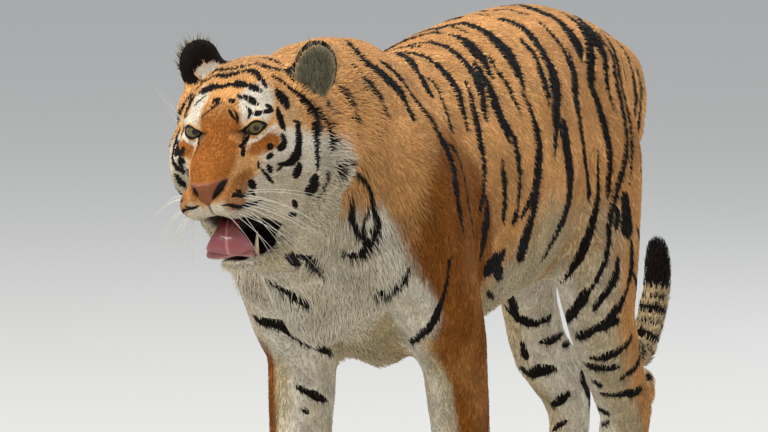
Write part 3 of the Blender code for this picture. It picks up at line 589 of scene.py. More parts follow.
# bands seen on the legs, neck and chest
legBands = [
    (9, (143, -383, 765), (112, -259, 730), (106, -199, 675), (108, -194, 659), (98, -209, 627),
     (86, -220, 617), (78, -244, 624)),
    (10, (110, -292, 715), (104, -282, 685), (96, -233, 651)),
    (11, (106, -221, 686), (102, -231, 673), (99, -230, 659), (97, -215, 644)),
    (24, (159, 297, 656), (147, 276, 585), (140, 288, 563)),
    (11, (171, 614, 535), (170, 609, 505), (154, 582, 468), (148, 581, 456)),
    (13, (176, 658, 553), (177, 657, 503), (171, 628, 459), (159, 605, 440)),
    (13, (111, 604, 409), (133, 593, 419), (147, 597, 427), (166, 628, 435)),
    (11, (127, 627, 376), (147, 638, 378), (166, 667, 392), (169, 686, 404)),
    (11, (105, 649, 365), (124, 641, 360), (140, 649, 358), (153, 666, 358)),
    (10, (153, 685, 340), (164, 723, 355), (162, 740, 368), (162, 737, 385)),
    (11, (114, 672, 334), (124, 676, 328)),
    (9, (120, 692, 313), (147, 710, 312), (154, 720, 316)),
    (12, (151, 722, 309), (159, 759, 314)),
    (12, (97, 739, 284), (113, 735, 277)),
    (5, (89, 778, 252), (110, 751, 263)),
    (7, (132, 859, 314), (134, 872, 319)),
    (10, (52, 1064, 339), (55, 1068, 321), (50, 1085, 306)),
    (10, (-116, 891, 417), (-89, 893, 396), (-72, 904, 387), (-55, 940, 395)),
    (9, (-64, 918, 356), (-53, 934, 358), (-50, 982, 365)),
    (7, (-45, 965, 345), (-46, 995, 349)),
    (15, (-100, 929, 310), (-87, 927, 304), (-71, 926, 309), (-50, 940, 313)),
    (11, (-62, 964, 249), (-41, 959, 265), (-35, 963, 271)),
    (6, (-65, 977, 208), (-56, 972, 217), (-41, 973, 225)),
    (14, (-47, 1051, 307), (-24, 998, 293), (-18, 1001, 275), (-20, 1021, 256), (-19, 1016, 241)),
    (26, (136, 151, 566), (136, 188, 565), (140, 204, 575)),
    (16, (128, 233, 542), (133, 202, 557)),
    (5, (117, 200, 525), (107, 257, 507)),
    (10, (169, -74, 605), (156, -79, 533), (144, -75, 510), (122, -68, 491), (88, -18, 474)),
    (14, (-114, -100, 508), (-88, -94, 501), (-69, -65, 488), (-41, 0, 450)),
    (8, (-74, -43, 406), (-56, -30, 394), (-45, -4, 381)),
    (5, (-66, -43, 374), (-59, -38, 368)),
    (8, (-33, -249, 585), (-3, -264, 572), (22, -259, 557), (31, -250, 547)),
    (8, (102, -187, 562), (113, -162, 562), (125, -148, 573), (136, -146, 594)),
    (10, (81, -457, 644), (48, -331, 614)),
    (9, (63, -364, 633), (62, -313, 620), (55, -257, 590)),
    (14, (-118, -39, 333), (-88, -69, 323)),
    (18, (-178, -19, 423), (-168, 11, 433)),
    (17, (-138, 901, 463), (-158, 941, 473), (-148, 981, 493)),
    (17, (-128, 941, 393), (-148, 981, 403), (-128, 1021, 413)),
    (14, (-118, 961, 323), (-128, 1001, 333)),
    (22, (-138, 781, 523), (-168, 811, 553), (-168, 861, 603)),
]
# marks on the face, in millimetres across and up from the bridge, each after its width
foreheadMarks = [
    (9, (-112, 134), (-72, 132), (-48, 137), (-17, 129), (5, 134), (36, 147)),
    (6.8, (-105, 148), (-80, 162), (-43, 155), (-9, 151), (27, 164), (40, 170)),
    (13.5, (-81, 99), (-34, 99), (-20, 98)),
    (9, (-18, 95), (7, 103)),
    (10.9, (18, 141), (31, 142), (46, 135), (76, 100)),
    (15.7, (17, 103), (28, 101)),
    (10.6, (34, 101), (65, 88)),
    (11.5, (38, 69), (62, 54)),
    (5.9, (27, 70), (34, 61)),
    (6.6, (55, 32), (68, 36), (92, 46)),
    (7.5, (79, 56), (88, 50)),
    (4.2, (43, 47), (50, 35), (47, 25)),
    (10.7, (44, 166), (91, 155)),
    (3.8, (-134, 58), (-116, 85), (-118, 112), (-91, 121)),
    (6.7, (-79, 66), (-41, 78)),
    (8.8, (-13, 56), (-4, 60)),
    (6.5, (15, 60), (22, 54)),
    (3, (-32, 30), (-8, 48), (6, 52)),
    (3.1, (15, 41), (26, 24)),
    (2.8, (25, 39), (30, 28), (29, 17)),
    (8.1, (-129, -1), (-86, -21), (-85, -40), (-109, -64)),
    (5.5, (-80, -14), (-75, -21)),
    (3.2, (-20, -62), (-14, -64), (-6, -62)),
    (5, (-36, 170), (-66, 160), (-92, 146)),
    (4.5, (22, 205), (60, 194), (92, 178)),
    (4.5, (-22, 205), (-60, 194), (-92, 178)),
]
# marks on both cheeks
cheekMarks = [
    (4.9, (80, 133), (114, 116)),
    (12.6, (96, 98), (114, 71), (119, 55)),
    (8.8, (101, 52), (111, 5)),
    (11.7, (115, 113), (145, 78), (172, 46), (175, 22), (164, -7), (158, -28), (148, -70)),
    (10.2, (134, 25), (139, 14), (126, -26), (119, -42), (111, -53), (101, -57), (88, -55)),
    (8.1, (104, -3), (103, -13), (97, -23), (87, -27)),
    (9.8, (123, -58), (113, -85)),
    (16, (140, -83), (135, -100), (132, -124)),
    (7.1, (80, -19), (78, -26)),
    (5.9, (79, -34), (72, -41)),
    (6.5, (71, -52), (74, -66)),
    (5, (59, -54), (77, -92)),
    (3.7, (57, -43), (56, -54)),
    (5.4, (87, -68), (96, -61)),
    (8.4, (99, -132), (99, -143)),
    (5.8, (81, -138), (92, -154)),
    (10.6, (39, -64), (46, -74)),
    (4.8, (24, -58), (29, -59), (38, -73)),
    (6.5, (38, -71), (44, -79)),
    (4.2, (15, -63), (25, -65), (41, -83), (50, -89)),
    (1.5, (23, -67), (44, -88)),
    (5.9, (28, -56), (32, -61)),
    (7, (180, 56), (194, 30), (196, -10), (188, -50)),
    (7, (186, 78), (210, 62), (222, 30)),
    (8, (168, -80), (160, -120), (140, -165)),
    (7, (198, -70), (192, -120)),
]
paleLines = [
    (4.2, (46, -13), (59, -10), (72, -1), (84, 7), (97, 15)),
    (5, (-98, 10), (-76, -1), (-54, -10), (-38, -6)),
]
# what is added to each width, in millimetres, and what it is multiplied by
stripeWidths = {"flank": (3, 1.35), "leg": (2, 1.25), "forehead": (0.8, 1.15), "cheek": (0, 1.25)}
tearLines = [(7, (44, 4), (39, -8), (38, -18), (37, -28)), (4.5, (-36, -2), (-33, -14), (-29, -26))]


class Ruler:
    # finds the place on the skin that has the given flat measures
    def __init__(self, flat, points):
        self.flat, self.points = flat, points

    def place(self, spots):
        found = []
        for spot in spots:
            gap = ((self.flat - spot) ** 2).sum(axis=1)
            near = np.argpartition(gap, 6)[:6]
            nearest = self.points[gap.argmin()]
            weight = (np.linalg.norm(self.points[near] - nearest, axis=1) < 0.02) / (gap[near] + 1e-6)
            found.append((self.points[near] * weight[:, None]).sum(axis=0) / weight.sum())
        return np.array(found)


def evenLine(line):
    if len(line) < 4:
        return line
    inner = (line[:-2] + 2 * line[1:-1] + line[2:]) / 4
    return np.concatenate([line[:1], inner, line[-1:]])


def widened(kind, width):
    # a width from a table, in millimetres, as the width to paint in metres
    start, times = stripeWidths[kind]
    return (start + times * width) / 1000


def mirroredFlank(flat, number):
    # a left stripe's flat measures, moved a little for the right side
    back = ramp(flat[:, 1], 0.24, 0.46) * ramp(flat[:, 0], 0.05, 0.20)
    rearward = 0.012 * math.sin(number * 2.3) + 0.17 * back
    down = 0.008 * math.cos(number * 1.7) * (flat[:, 1] > 0.03)
    return flat + np.stack([rearward, down], axis=1)


def gatherStripes():
    # every dark stripe as a line of places on the skin with a half width at each place
    normals = normalsOf(skinPoints, skinCorners)
    onHead = skinPoints[:, 1] < skinShape["headBack"]
    tree = BVHTree.FromPolygons([Vector(p) for p in skinPoints], skinCorners.tolist())
    stripes = []

    def onSkin(places):
        return np.array([tree.find_nearest(Vector(p))[0] for p in places])

    def add(places, width, power=0.4):
        places = onSkin(evenLine(places))
        t = np.linspace(0, 1, len(places))
        taper = np.clip(np.sin(np.pi * np.clip(t * 0.94 + 0.03, 0, 1)), 0, 1) ** power
        waver = 1 + 0.18 * np.sin(t * 9 + width * 700) * (len(places) > 9)
        stripes.append((places, width / 2 * taper * waver))

    far = (skinPoints[:, 0] < 0.004) & (normals[:, 0] < 0.25) & ~onHead
    ruler = Ruler(roundFlank(skinPoints[far]), skinPoints[far])
    for number, (width, *stops) in enumerate(flankStripes):
        places, width = np.array(stops, float) / 1000 + bodySeat, widened("flank", width)
        add(curveThrough(places), width)
        add(ruler.place(curveThrough(mirroredFlank(roundFlank(places * (-1, 1, 1)), number))), width)
    for width, *stops in legBands:
        add(curveThrough(np.array(stops, float) / 1000 + bodySeat), widened("leg", width), 0.25)
    ruler = Ruler(roundFace(toHead(skinPoints[onHead])), skinPoints[onHead])
    for width, *stops in foreheadMarks:
        add(ruler.place(curveThrough(np.array(stops, float) / 1000)), widened("forehead", width))
    for width, *stops in cheekMarks:
        left = np.array(stops, float) / 1000
        right = left * (-1, 1) + (0, 0.003 * math.sin(width * 900))
        for stops in (left, right):
            add(ruler.place(curveThrough(stops)), widened("cheek", width))
    tears, pales = [], []
    for lines, kept in ((tearLines, tears), (paleLines, pales)):
        for width, *stops in lines:
            places = onSkin(ruler.place(curveThrough(np.array(stops, float) / 1000)))
            kept.append((evenLine(places), np.full(len(places), width / 2000)))
    return stripes + tears, pales


def toLines(points, lines, reach=0.03):
    # how far each point lies outside the nearest of the lines' edges, in metres
    outside = np.full(len(points), reach)
    for places, half in lines:
        low, high = places.min(axis=0) - reach, places.max(axis=0) + reach
        near = np.flatnonzero(((points > low) & (points < high)).all(axis=1))
        if not len(near):
            continue
        a, b = places[:-1], places[1:]
        along = b - a
        gap = points[near][:, None] - a[None]
        t = np.clip((gap * along).sum(axis=2) / np.maximum((along ** 2).sum(axis=1), 1e-12), 0, 1)
        far = np.linalg.norm(gap - t[..., None] * along, axis=2) - (half[:-1] + (half[1:] - half[:-1]) * t)
        outside[near] = np.minimum(outside[near], far.min(axis=1))
    return outside


def ripple(points, size, seed):
    # a smooth uneven number from -1 to 1 at every point
    dice = np.random.default_rng(seed)
    waves = dice.normal(size=(7, 3)) * 2 * np.pi / size / 1.7
    return np.sin(points @ waves.T + dice.uniform(0, 6.3, 7)).sum(axis=1) / 4.2


# colours of the coat, as they look in plain light; deep is partly painted shade, earInside is partly painted
# shade of the ear's hollow, and lip and mouth are also painted shade inside the open mouth
def paint(red, green, blue):
    value = np.array((red, green, blue)) / 255
    return np.where(value < 0.04045, value / 12.92, ((value + 0.055) / 1.055) ** 2.4)


coatColours = {
    "orange": paint(230, 174, 110), "deep": paint(146, 86, 26), "mask": paint(166, 100, 40),
    "tan": paint(222, 178, 126), "cream": paint(200, 182, 145), "white": paint(232, 223, 204),
    "black": paint(26, 20, 17), "leather": paint(140, 84, 54), "lip": paint(20, 16, 16),
    "mouth": paint(60, 24, 24), "earInside": paint(134, 128, 104),
}
ears = {
    "left": {"seat": (0.094, 0.118, 0.0425), "turn": 28, "lean": (-8, 18), "tall": 0.045},
    "right": {"seat": (-0.072, 0.122, 0.061), "turn": -138, "lean": (-16, -6), "tall": 0.040},
}
earBowl = {"across": 0.0275, "ahead": -0.017, "deep": 0.0205, "rim": 0.008}
tailPath = np.array([
    (0, 0.83, 0.785), (0.002, 0.92, 0.735), (0.008, 0.96, 0.65), (0.016, 0.978, 0.545), (0.024, 0.993, 0.44),
    (0.031, 1.023, 0.358), (0.038, 1.076, 0.320), (0.042, 1.107, 0.343), (0.048, 1.135, 0.396),
    (0.051, 1.142, 0.445), (0.051, 1.137, 0.487), (0.051, 1.134, 0.504),
])


def earTurn(side):
    turn, (back, out) = ears[side]["turn"], ears[side]["lean"]
    turns = [Euler(np.radians(angles)).to_matrix() for angles in ((0, out, 0), (0, 0, turn), (back, 0, 0))]
    return np.array(turns[0] @ turns[1] @ turns[2])


def earSpots(side, spots):
    return (spots - np.array(ears[side]["seat"])) @ earTurn(side)


def tailPlaces(points):
    # how far along the tail each point lies, the way the tail runs there, and the tail's whole length
    line = curveThrough(tailPath + bodySeat, 24)
    step = np.concatenate([[0], np.cumsum(np.linalg.norm(np.diff(line, axis=0), axis=1))])
    way = np.gradient(line, axis=0)
    way /= np.linalg.norm(way, axis=1, keepdims=True)
    near = np.array([((line - p) ** 2).sum(axis=1).argmin() for p in points], int)
    return step[near], way[near], step[-1]


def oval(flat, middle, radius, tilt=0.0, soft=0.25):
    turn = math.radians(tilt)
    away = flat - np.array(middle)
    across = (away[:, 0] * math.cos(turn) + away[:, 1] * math.sin(turn)) / radius[0]
    up = (-away[:, 0] * math.sin(turn) + away[:, 1] * math.cos(turn)) / radius[1]
    return 1 - ramp(np.hypot(across, up), 1 - soft, 1 + soft)


def blend(a, b, share):
    return a + (b - a) * share[:, None]


def mouthShare(points, normals, corners):
    # 1 where the skin faces other skin across the open mouth
    spots = toHead(points)
    near = (np.abs(spots[:, 0] - 0.005) < 0.058) & (spots[:, 1] > -0.125) & (spots[:, 1] < 0.06)
    near &= (spots[:, 2] < -0.072) & (spots[:, 2] > -0.182)
    tree = BVHTree.FromPolygons([Vector(p) for p in points], corners.tolist())
    share = np.zeros(len(points))
    for i in np.flatnonzero(near):
        start, way = Vector(points[i]), Vector(normals[i])
        share[i] = tree.ray_cast(start + way * 0.002, way, 0.080)[0] is not None
    return eased(share, corners, 3)


# rings on the tail, from its tip, in metres: place and width
tailRings = [
    (0.030, 0.105), (0.100, 0.007), (0.122, 0.014), (0.146, 0.006), (0.170, 0.016), (0.196, 0.006),
    (0.232, 0.015), (0.252, 0.006), (0.292, 0.015), (0.345, 0.014), (0.362, 0.005), (0.405, 0.014),
    (0.465, 0.013), (0.525, 0.013), (0.590, 0.012), (0.650, 0.012),
]

skinStripes, paleStripes = gatherStripes()


def markEdge(points, onHead):
    # how far outside the nearest stripe each place lies, a little uneven along the stripe's edge
    return toLines(points, skinStripes) + (0.0012 - 0.0009 * onHead) * ripple(points, 0.012, 5)


def ringEdge(points):
    far, way, whole = tailPlaces(points)
    ring = np.full(len(points), 0.03)
    for place, wide in tailRings:
        ring = np.minimum(ring, np.abs(whole - far - place) - wide / 2)
    return ring + 0.0015 * ripple(points, 0.02, 8)


# where the orange of the trunk ends: place along the body, and distance from the line of the back
orangeEdge = np.array([
    (-0.6, 0.24), (-0.5, 0.27), (-0.42, 0.33), (-0.36, 0.40), (-0.2, 0.42), (-0.12, 0.38), (0, 0.30),
    (0.1, 0.28), (0.2, 0.32), (0.3, 0.34), (0.4, 0.40), (0.5, 0.46), (0.6, 0.50),
])
# the edge of the chest's white: height, and place along the body
bibEdge = np.array([
    (0.47, -0.33), (0.515, -0.352), (0.547, -0.38), (0.583, -0.418), (0.625, -0.436), (0.69, -0.46),
])
# ovals on the face: middle, radius, tilt and softness, in millimetres across and up from the bridge
whiteOvals = [
    ((60, 58), (31, 48), -8, 0.25), ((118, -78), (64, 88), 0, 0.15), ((42, -100), (46, 40), 0, 0.12),
    ((178, -85), (42, 85), 0, 0.2), ((0, -150), (60, 70), 0, 0.15), ((26, -76), (36, 17), 0, 0.2),
]
faceOvals = {
    "tan": ((122, 40), (20, 50), 12), "mask": ((70, -17), (29, 15), 20, 0.18),
    "bridge": ((0, 10), (36, 72), 0, 0.12), "pad": ((32, -58), (16, 12), 25, 0.3),
}
farFromMarks = 0.01


def trunkGround(points, normals, uneven, fore, hind, paw):
    # orange over the back and the outside of the legs, cream below, in front and within
    flat, colour = roundFlank(points), coatColours
    edge = np.interp(points[:, 1], *orangeEdge.T)
    pale = ramp(flat[:, 1] + 0.015 * uneven, edge - 0.045, edge + 0.055)
    bib = np.interp(points[:, 2], *bibEdge.T) - points[:, 1]
    chestFront = ramp(bib + 0.004 * uneven, -0.012, 0.012) * ramp(0.70 - points[:, 2], -0.01, 0.02)
    under = ramp(0.135 - np.abs(points[:, 0]), 0, 0.03) * ramp(0.60 - points[:, 2], 0, 0.05)
    under *= ramp(-points[:, 1], 0.10, 0.20)
    pale = np.maximum.reduce([pale, chestFront, under])
    outward = normals[:, 0] * np.sign(points[:, 0])
    foreSide = 1 - ramp(outward + 0.5 * normals[:, 1] + 0.05 * uneven, -0.14, 0.16)
    bibSide = np.maximum.reduce([chestFront, under, 1 - ramp(outward, -0.5, -0.1)])
    foreSide = foreSide + (bibSide - foreSide) * ramp(points[:, 2], 0.43, 0.50)
    pale = pale + (foreSide - pale) * fore
    low = ramp(0.62 - points[:, 2], 0, 0.12)
    front = low * (1 - ramp(normals[:, 1] + 0.45 * outward, -0.05, 0.40))
    hindPale = np.maximum(1 - ramp(outward, -0.3, 0.2), front)
    pale = pale + (np.maximum(hindPale, pale * (1 - low)) - pale) * hind
    pale = pale + (0.75 - pale) * paw
    # deeper orange on the outer side of the forelegs and down the flanks: partly the coat's own tone, partly
    # painted shade of the shoulders and flanks
    deep = 0.75 * fore * ramp(outward, 0.0, 0.6) + 0.25 * ramp(flat[:, 1], 0.10, 0.28) + 0.22 * uneven
    white = 0.7 * chestFront + 0.85 * (1 - ramp(outward, -0.4, 0.3)) * (fore + hind) + 0.3 * uneven
    warm = blend(colour["orange"], colour["deep"], np.clip(deep, 0, 1))
    creamy = blend(colour["cream"], colour["white"], np.clip(white, 0, 1))
    return blend(warm, creamy, pale), pale


def headGround(spots, flatHead, jaw, uneven):
    colour, down = coatColours, -flatHead[:, 1]
    mirrored = np.stack([np.abs(flatHead[:, 0]), flatHead[:, 1]], axis=1) * 1000
    ovals = {name: oval(mirrored, *shape) for name, shape in faceOvals.items()}
    chin = ramp(-spots[:, 2], 0.085, 0.115)
    white = np.maximum.reduce([oval(mirrored, *shape) for shape in whiteOvals] + [chin])
    crown = 0.35 * (1 - ramp(np.abs(flatHead[:, 0]), 0.02, 0.10)) * ramp(flatHead[:, 1], 0.10, 0.16)
    ground = blend(colour["orange"], colour["tan"], crown)
    ground = blend(ground, colour["tan"], ovals["tan"])
    ground = blend(ground, blend(colour["white"], colour["cream"], 0.65 * ramp(down, -0.02, 0.12)), white)
    ground = blend(ground, colour["mask"], np.clip(ovals["mask"] + 0.85 * ovals["pad"], 0, 1))
    bridge = ovals["bridge"] * ramp(mirrored[:, 1], -66, -54)
    ground = blend(ground, blend(colour["orange"], colour["mask"], ramp(down, -0.075, -0.01)), bridge)
    return blend(ground, blend(colour["white"], colour["cream"], 0.5 + 0.5 * uneven), jaw)


def lidShare(spots):
    # 1 on the dark rims of the lids, wider towards the corners of the eye
    lids = np.zeros(len(spots))
    for side in sides:
        away = spots - eyeMiddle(side)
        rim, ahead = lidEdge(side, away)
        corner = np.abs(away @ eyeFrame(side)[1]) / face["eyeRadius"]
        wide = 0.0022 + 0.0035 * ramp(corner, 0.55, 0.95)
        near = (np.linalg.norm(away, axis=1) < 0.035) & (ahead > 0.05)
        lids = np.maximum(lids, (1 - ramp(rim, wide, wide + 0.0018)) * near)
    return lids


def colourSkin(points, corners):
    normals, labels = normalsOf(points, corners), labelsOf(points)
    spots, colour = toHead(points), coatColours
    flatHead, uneven = roundFace(spots), ripple(points, 0.10, 3)
    fore = partShare(labels, corners, "shoulder", "forearm")
    hind = partShare(labels, corners, "thigh", "shank", "hock")
    paw = partShare(labels, corners, "forepaw", "hindpaw", rounds=10)
    tail = partShare(labels, corners, "tail")
    head = partShare(labels, corners, "head", "lower_jaw", "ear", rounds=8)
    jaw = partShare(labels, corners, "lower_jaw", rounds=3)
    ground, pale = trunkGround(points, normals, uneven, fore, hind, paw)
    onTail = tail > 0.02
    tailPale = ramp(tailPlaces(points[onTail])[0], 0.10, 0.55) * 0.85
    ground[onTail] = blend(ground[onTail], blend(colour["orange"], colour["cream"], tailPale), tail[onTail])
    ground = blend(ground, headGround(spots, flatHead, jaw, uneven), head)
    ground = blend(ground, colour["white"], 1 - ramp(toLines(points, paleStripes), -0.0005, 0.0015))
    outside = markEdge(points, head)
    outside[onTail] = np.where(tail[onTail] > 0.5, ringEdge(points[onTail]), outside[onTail])
    # ears: black behind with one white spot, plain inside in a grey-olive that is partly the pale lining and
    # partly painted shade of the hollow
    inner, earShare = np.zeros(len(points)), np.zeros(len(points))
    for side in sides:
        ear = partShare(labels, corners, "ear_" + side, rounds=1)
        earShare = np.maximum(earShare, ear)
        at, tall = earSpots(side, spots), ears[side]["tall"]
        hollow = np.hypot(at[:, 0] / earBowl["across"], (at[:, 1] - earBowl["ahead"]) / earBowl["deep"])
        hollow = np.hypot(hollow, at[:, 2] / (tall - earBowl["rim"]))
        inside = (1 - ramp(hollow, 1.02, 1.14)) * ear
        spot = oval(at[:, [0, 2]], (-0.006, -0.004), (0.019, 0.010), 8, 0.15) * (at[:, 1] > 0.004)
        back = ear * (1 - inside) * ramp(at[:, 2], -0.55 * tall, -0.35 * tall)
        ground = blend(ground, colour["white"], back * spot)
        outside = np.where(back * (1 - spot) > 0.5, np.minimum(outside, -0.004), outside)
        # the inside of the ear, in grey-olive: painted shade of the hollow over a pale lining
        ground = blend(ground, colour["earInside"], inside)
        plain = ((ear > 0.5) & (back * spot > 0.5)) | (inside > 0.4)
        outside = np.where(plain, farFromMarks, outside)
        inner = np.maximum(inner, inside)
    # bare skin: nose, lid rims, lips and the mouth
    pad = ramp(noseShare(spots), -0.001, 0.002)
    across, down = nosePlace(spots)
    hole = np.hypot((np.abs(across) - 0.66 + 0.35 * (down - 0.4)) * 1.5, (down - 0.42) * 0.85)
    nostril = ramp(-hole, -0.46, -0.34) * pad
    lids, mouth = lidShare(spots), mouthShare(points, normals, corners)
    lip = ramp(mouth, 0.02, 0.12)
    groove = grooveShare(spots, 0.0016, (0.060, 0.064), (0.088, 0.094)) * (spots[:, 1] < -0.07)
    bare = np.clip(np.maximum.reduce([pad, lids, lip, groove]), 0, 1)
    # the nostrils are painted black as painted shade in their openings, and the leather is darker towards
    # its lower edge
    darkNose = np.clip(nostril + 0.5 * ramp(down, 0.75, 1.0), 0, 1)
    ground = blend(ground, blend(colour["leather"], colour["black"], darkNose), pad)
    # the lips' black also covers the skin that faces skin inside the open mouth, where it is painted shade
    ground = blend(ground, colour["lip"], np.clip(np.maximum.reduce([lids, lip, 0.8 * groove]), 0, 1))
    outside = np.where(np.maximum.reduce([pad, lids, lip]) > 0.5, farFromMarks, outside)
    # painted shade deep inside the open mouth: the mouth colour darkened to a quarter
    ground = blend(ground, colour["mouth"] * 0.25, ramp(mouth, 0.6, 0.95))
    return {
        "normals": normals, "labels": labels, "ground": np.clip(ground, 0, 1), "edge": outside, "bare": bare,
        "innerEar": inner, "ear": earShare, "head": head, "fore": fore, "hind": hind, "paw": paw,
        "tail": tail, "pale": pale, "spots": spots,
    }


skin = colourSkin(skinPoints, skinCorners)
print("skin coloured")


def addNumbers(mesh, name, kind, values):
    attribute = mesh.attributes.new(name, kind, "POINT")
    if kind == "FLOAT_COLOR":
        values = np.concatenate([values, np.ones((len(values), 1))], axis=1)
        attribute.data.foreach_set("color", values.astype(np.float32).ravel())
    else:
        attribute.data.foreach_set("value", np.asarray(values, np.float32))


def coatMaterial(name, fur):
    material, wiring, shader = newMaterial(name, 0.72 if fur else 0.62)
    fine = wiring.texture("Noise", {"Scale": 420 if fur else 260, "Detail": 3}, "Fac")
    broad = wiring.texture("Noise", {"Scale": 22, "Detail": 4}, "Fac")
    ground = wiring.number("ground", "Color")
    ground = wiring.mixed(1.0, ground, wiring.ranged(broad, 0.3, 0.7, (0.86, 1.12)), "MULTIPLY")
    dark = wiring.ranged(wiring.number("edge"), -0.0008, 0.0008, (1.0, 0.0))
    colour = wiring.mixed(dark, ground, (*coatColours["black"], 1))
    # on the tufts: darker at the root as painted shade among the hairs and a little lighter towards the tip,
    # and a random tone for each tuft
    layers = [("along", 0.0, 0.75, (0.84, 1.06)), ("tone", -1.0, 1.0, (0.88, 1.12))] if fur else []
    for number, low, high, to in layers:
        colour = wiring.mixed(1.0, colour, wiring.ranged(wiring.number(number), low, high, to), "MULTIPLY")
    colour = wiring.mixed(1.0, colour, wiring.ranged(fine, 0.3, 0.7, (0.90, 1.06)), "MULTIPLY")
    wiring.feed(shader, {"Base Color": colour, "Specular IOR Level": 0.12})
    if not fur:
        roughness = wiring.ranged(wiring.number("bare"), 0.2, 0.9, (0.78, 0.36))
        wiring.feed(shader, {"Roughness": roughness, "Normal": wiring.bump(fine, 0.22, 0.0012)})
    return material


skinMaterial = coatMaterial("shortCoatSkin", False)
furMaterial = coatMaterial("coatTufts", True)
skinPiece = meshPiece("skin", skinPoints, skinCorners, skinMaterial)
for field, kind in (("ground", "FLOAT_COLOR"), ("edge", "FLOAT"), ("bare", "FLOAT")):
    addNumbers(skinPiece.data, field, kind, skin[field])


# the coat: thin tufts laid along the body, longer and looser on the ruff, chest and belly
fur = {
    # length, width, tufts in a square centimetre, how high the tips stand
    "face": (0.0062, 0.0011, 26, 0.50), "head": (0.0095, 0.0013, 15, 0.50), "ruff": (0.028, 0.0016, 9, 0.50),
    "neck": (0.016, 0.0015, 7.8, 0.45), "trunk": (0.0135, 0.0016, 7.6, 0.40),
    "belly": (0.022, 0.0018, 5.8, 0.50), "chest": (0.025, 0.0016, 7.0, 0.42),
    "leg": (0.0115, 0.0014, 8.4, 0.50), "paw": (0.008, 0.0013, 10, 0.50), "tail": (0.016, 0.0015, 10, 0.75),
    "ear": (0.0050, 0.0011, 20, 0.25), "earInside": (0.017, 0.0010, 9, 1.3),
}
coat = {"tufts": 205000, "mostInPiece": 31000, "swirl": 9.0, "spread": 11.0, "patch": 0.003, "long": 0.024}
coatGroups = {
    "head": ("head", "lower_jaw", "ear", "eye"), "neck": ("neck",), "chest": ("chest",), "loin": ("loin",),
    "rump": ("rump",), "foreleg": ("shoulder", "forearm", "forepaw"),
    "hindleg": ("thigh", "shank", "hock", "hindpaw"), "tail": ("tail",),
}


def mixRows(shares):
    # one row of fur numbers for every point of the skin
    rows = np.tile(np.array(fur["trunk"], float), (len(skinPoints), 1))
    for name, share in shares:
        rows = rows + (np.array(fur[name], float) - rows) * np.clip(share, 0, 1)[:, None]
    return rows


def laidFlat(way, normals, angle):
    # the part of each direction that runs along the skin, turned by an angle
    way = way - (way * normals).sum(axis=1, keepdims=True) * normals
    way /= np.maximum(np.linalg.norm(way, axis=1, keepdims=True), 1e-9)
    return way * np.cos(angle)[:, None] + np.cross(normals, way) * np.sin(angle)[:, None]


def layOfCoat():
    # the way the hair lies at every point
    normals, spots = skin["normals"], skin["spots"]
    count, flat = len(skinPoints), roundFlank(skinPoints)
    along, height = skinPoints[:, 1], skinPoints[:, 2]
    way = np.tile((0.0, 1.0, -0.42), (count, 1))
    way[:, 2] = -0.1 - 0.75 * ramp(flat[:, 1], 0.04, 0.25) + 0.55 * ramp(flat[:, 1], 0.33, 0.42)
    way = blend(way, np.array((0.0, 0.45, -1.0)), ramp(-along, 0.30, 0.42) * ramp(0.80 - height, 0, 0.15))
    leg = np.clip(skin["fore"] + skin["hind"] + skin["paw"], 0, 1) * ramp(0.66 - height, 0, 0.12)
    way = blend(way, np.array((0.0, 0.28, -1.0)), leg)
    way = blend(way, np.array((0.0, -1.0, -0.35)), skin["paw"] * ramp(normals[:, 2], -0.1, 0.6))
    # on the head it runs back from the nose, then down and outwards over the ruff
    down, rear = -spots[:, 2], spots[:, 1]
    back = spots - np.array((0.0, -0.115, -0.055))
    back = back / np.linalg.norm(back, axis=1, keepdims=True)
    back[:, 2] -= 0.65 * ramp(rear, -0.02, 0.10) * ramp(down, -0.05, 0.05) + 0.25 * ramp(down, 0.07, 0.12)
    back[:, 0] += 0.35 * np.sign(skinPoints[:, 0] + 1e-9) * ramp(down, 0.0, 0.08) * ramp(rear, 0.0, 0.08)
    way = blend(way, back @ headTurn.T, np.clip(skin["head"] * 1.3, 0, 1))
    onTail = skin["tail"] > 0.02
    way[onTail] = blend(way[onTail], tailPlaces(skinPoints[onTail])[1], skin["tail"][onTail])
    for side in sides:
        ear = partShare(skin["labels"], skinCorners, "ear_" + side, rounds=1)
        across = earSpots(side, spots)[:, 0]
        outward = np.stack([across * 18, np.full(count, -0.15), np.full(count, 0.9)], axis=1)
        way = blend(way, (outward @ earTurn(side).T) @ headTurn.T, ear)
    return laidFlat(way, normals, np.radians(coat["swirl"]) * ripple(skinPoints, 0.06, 11))


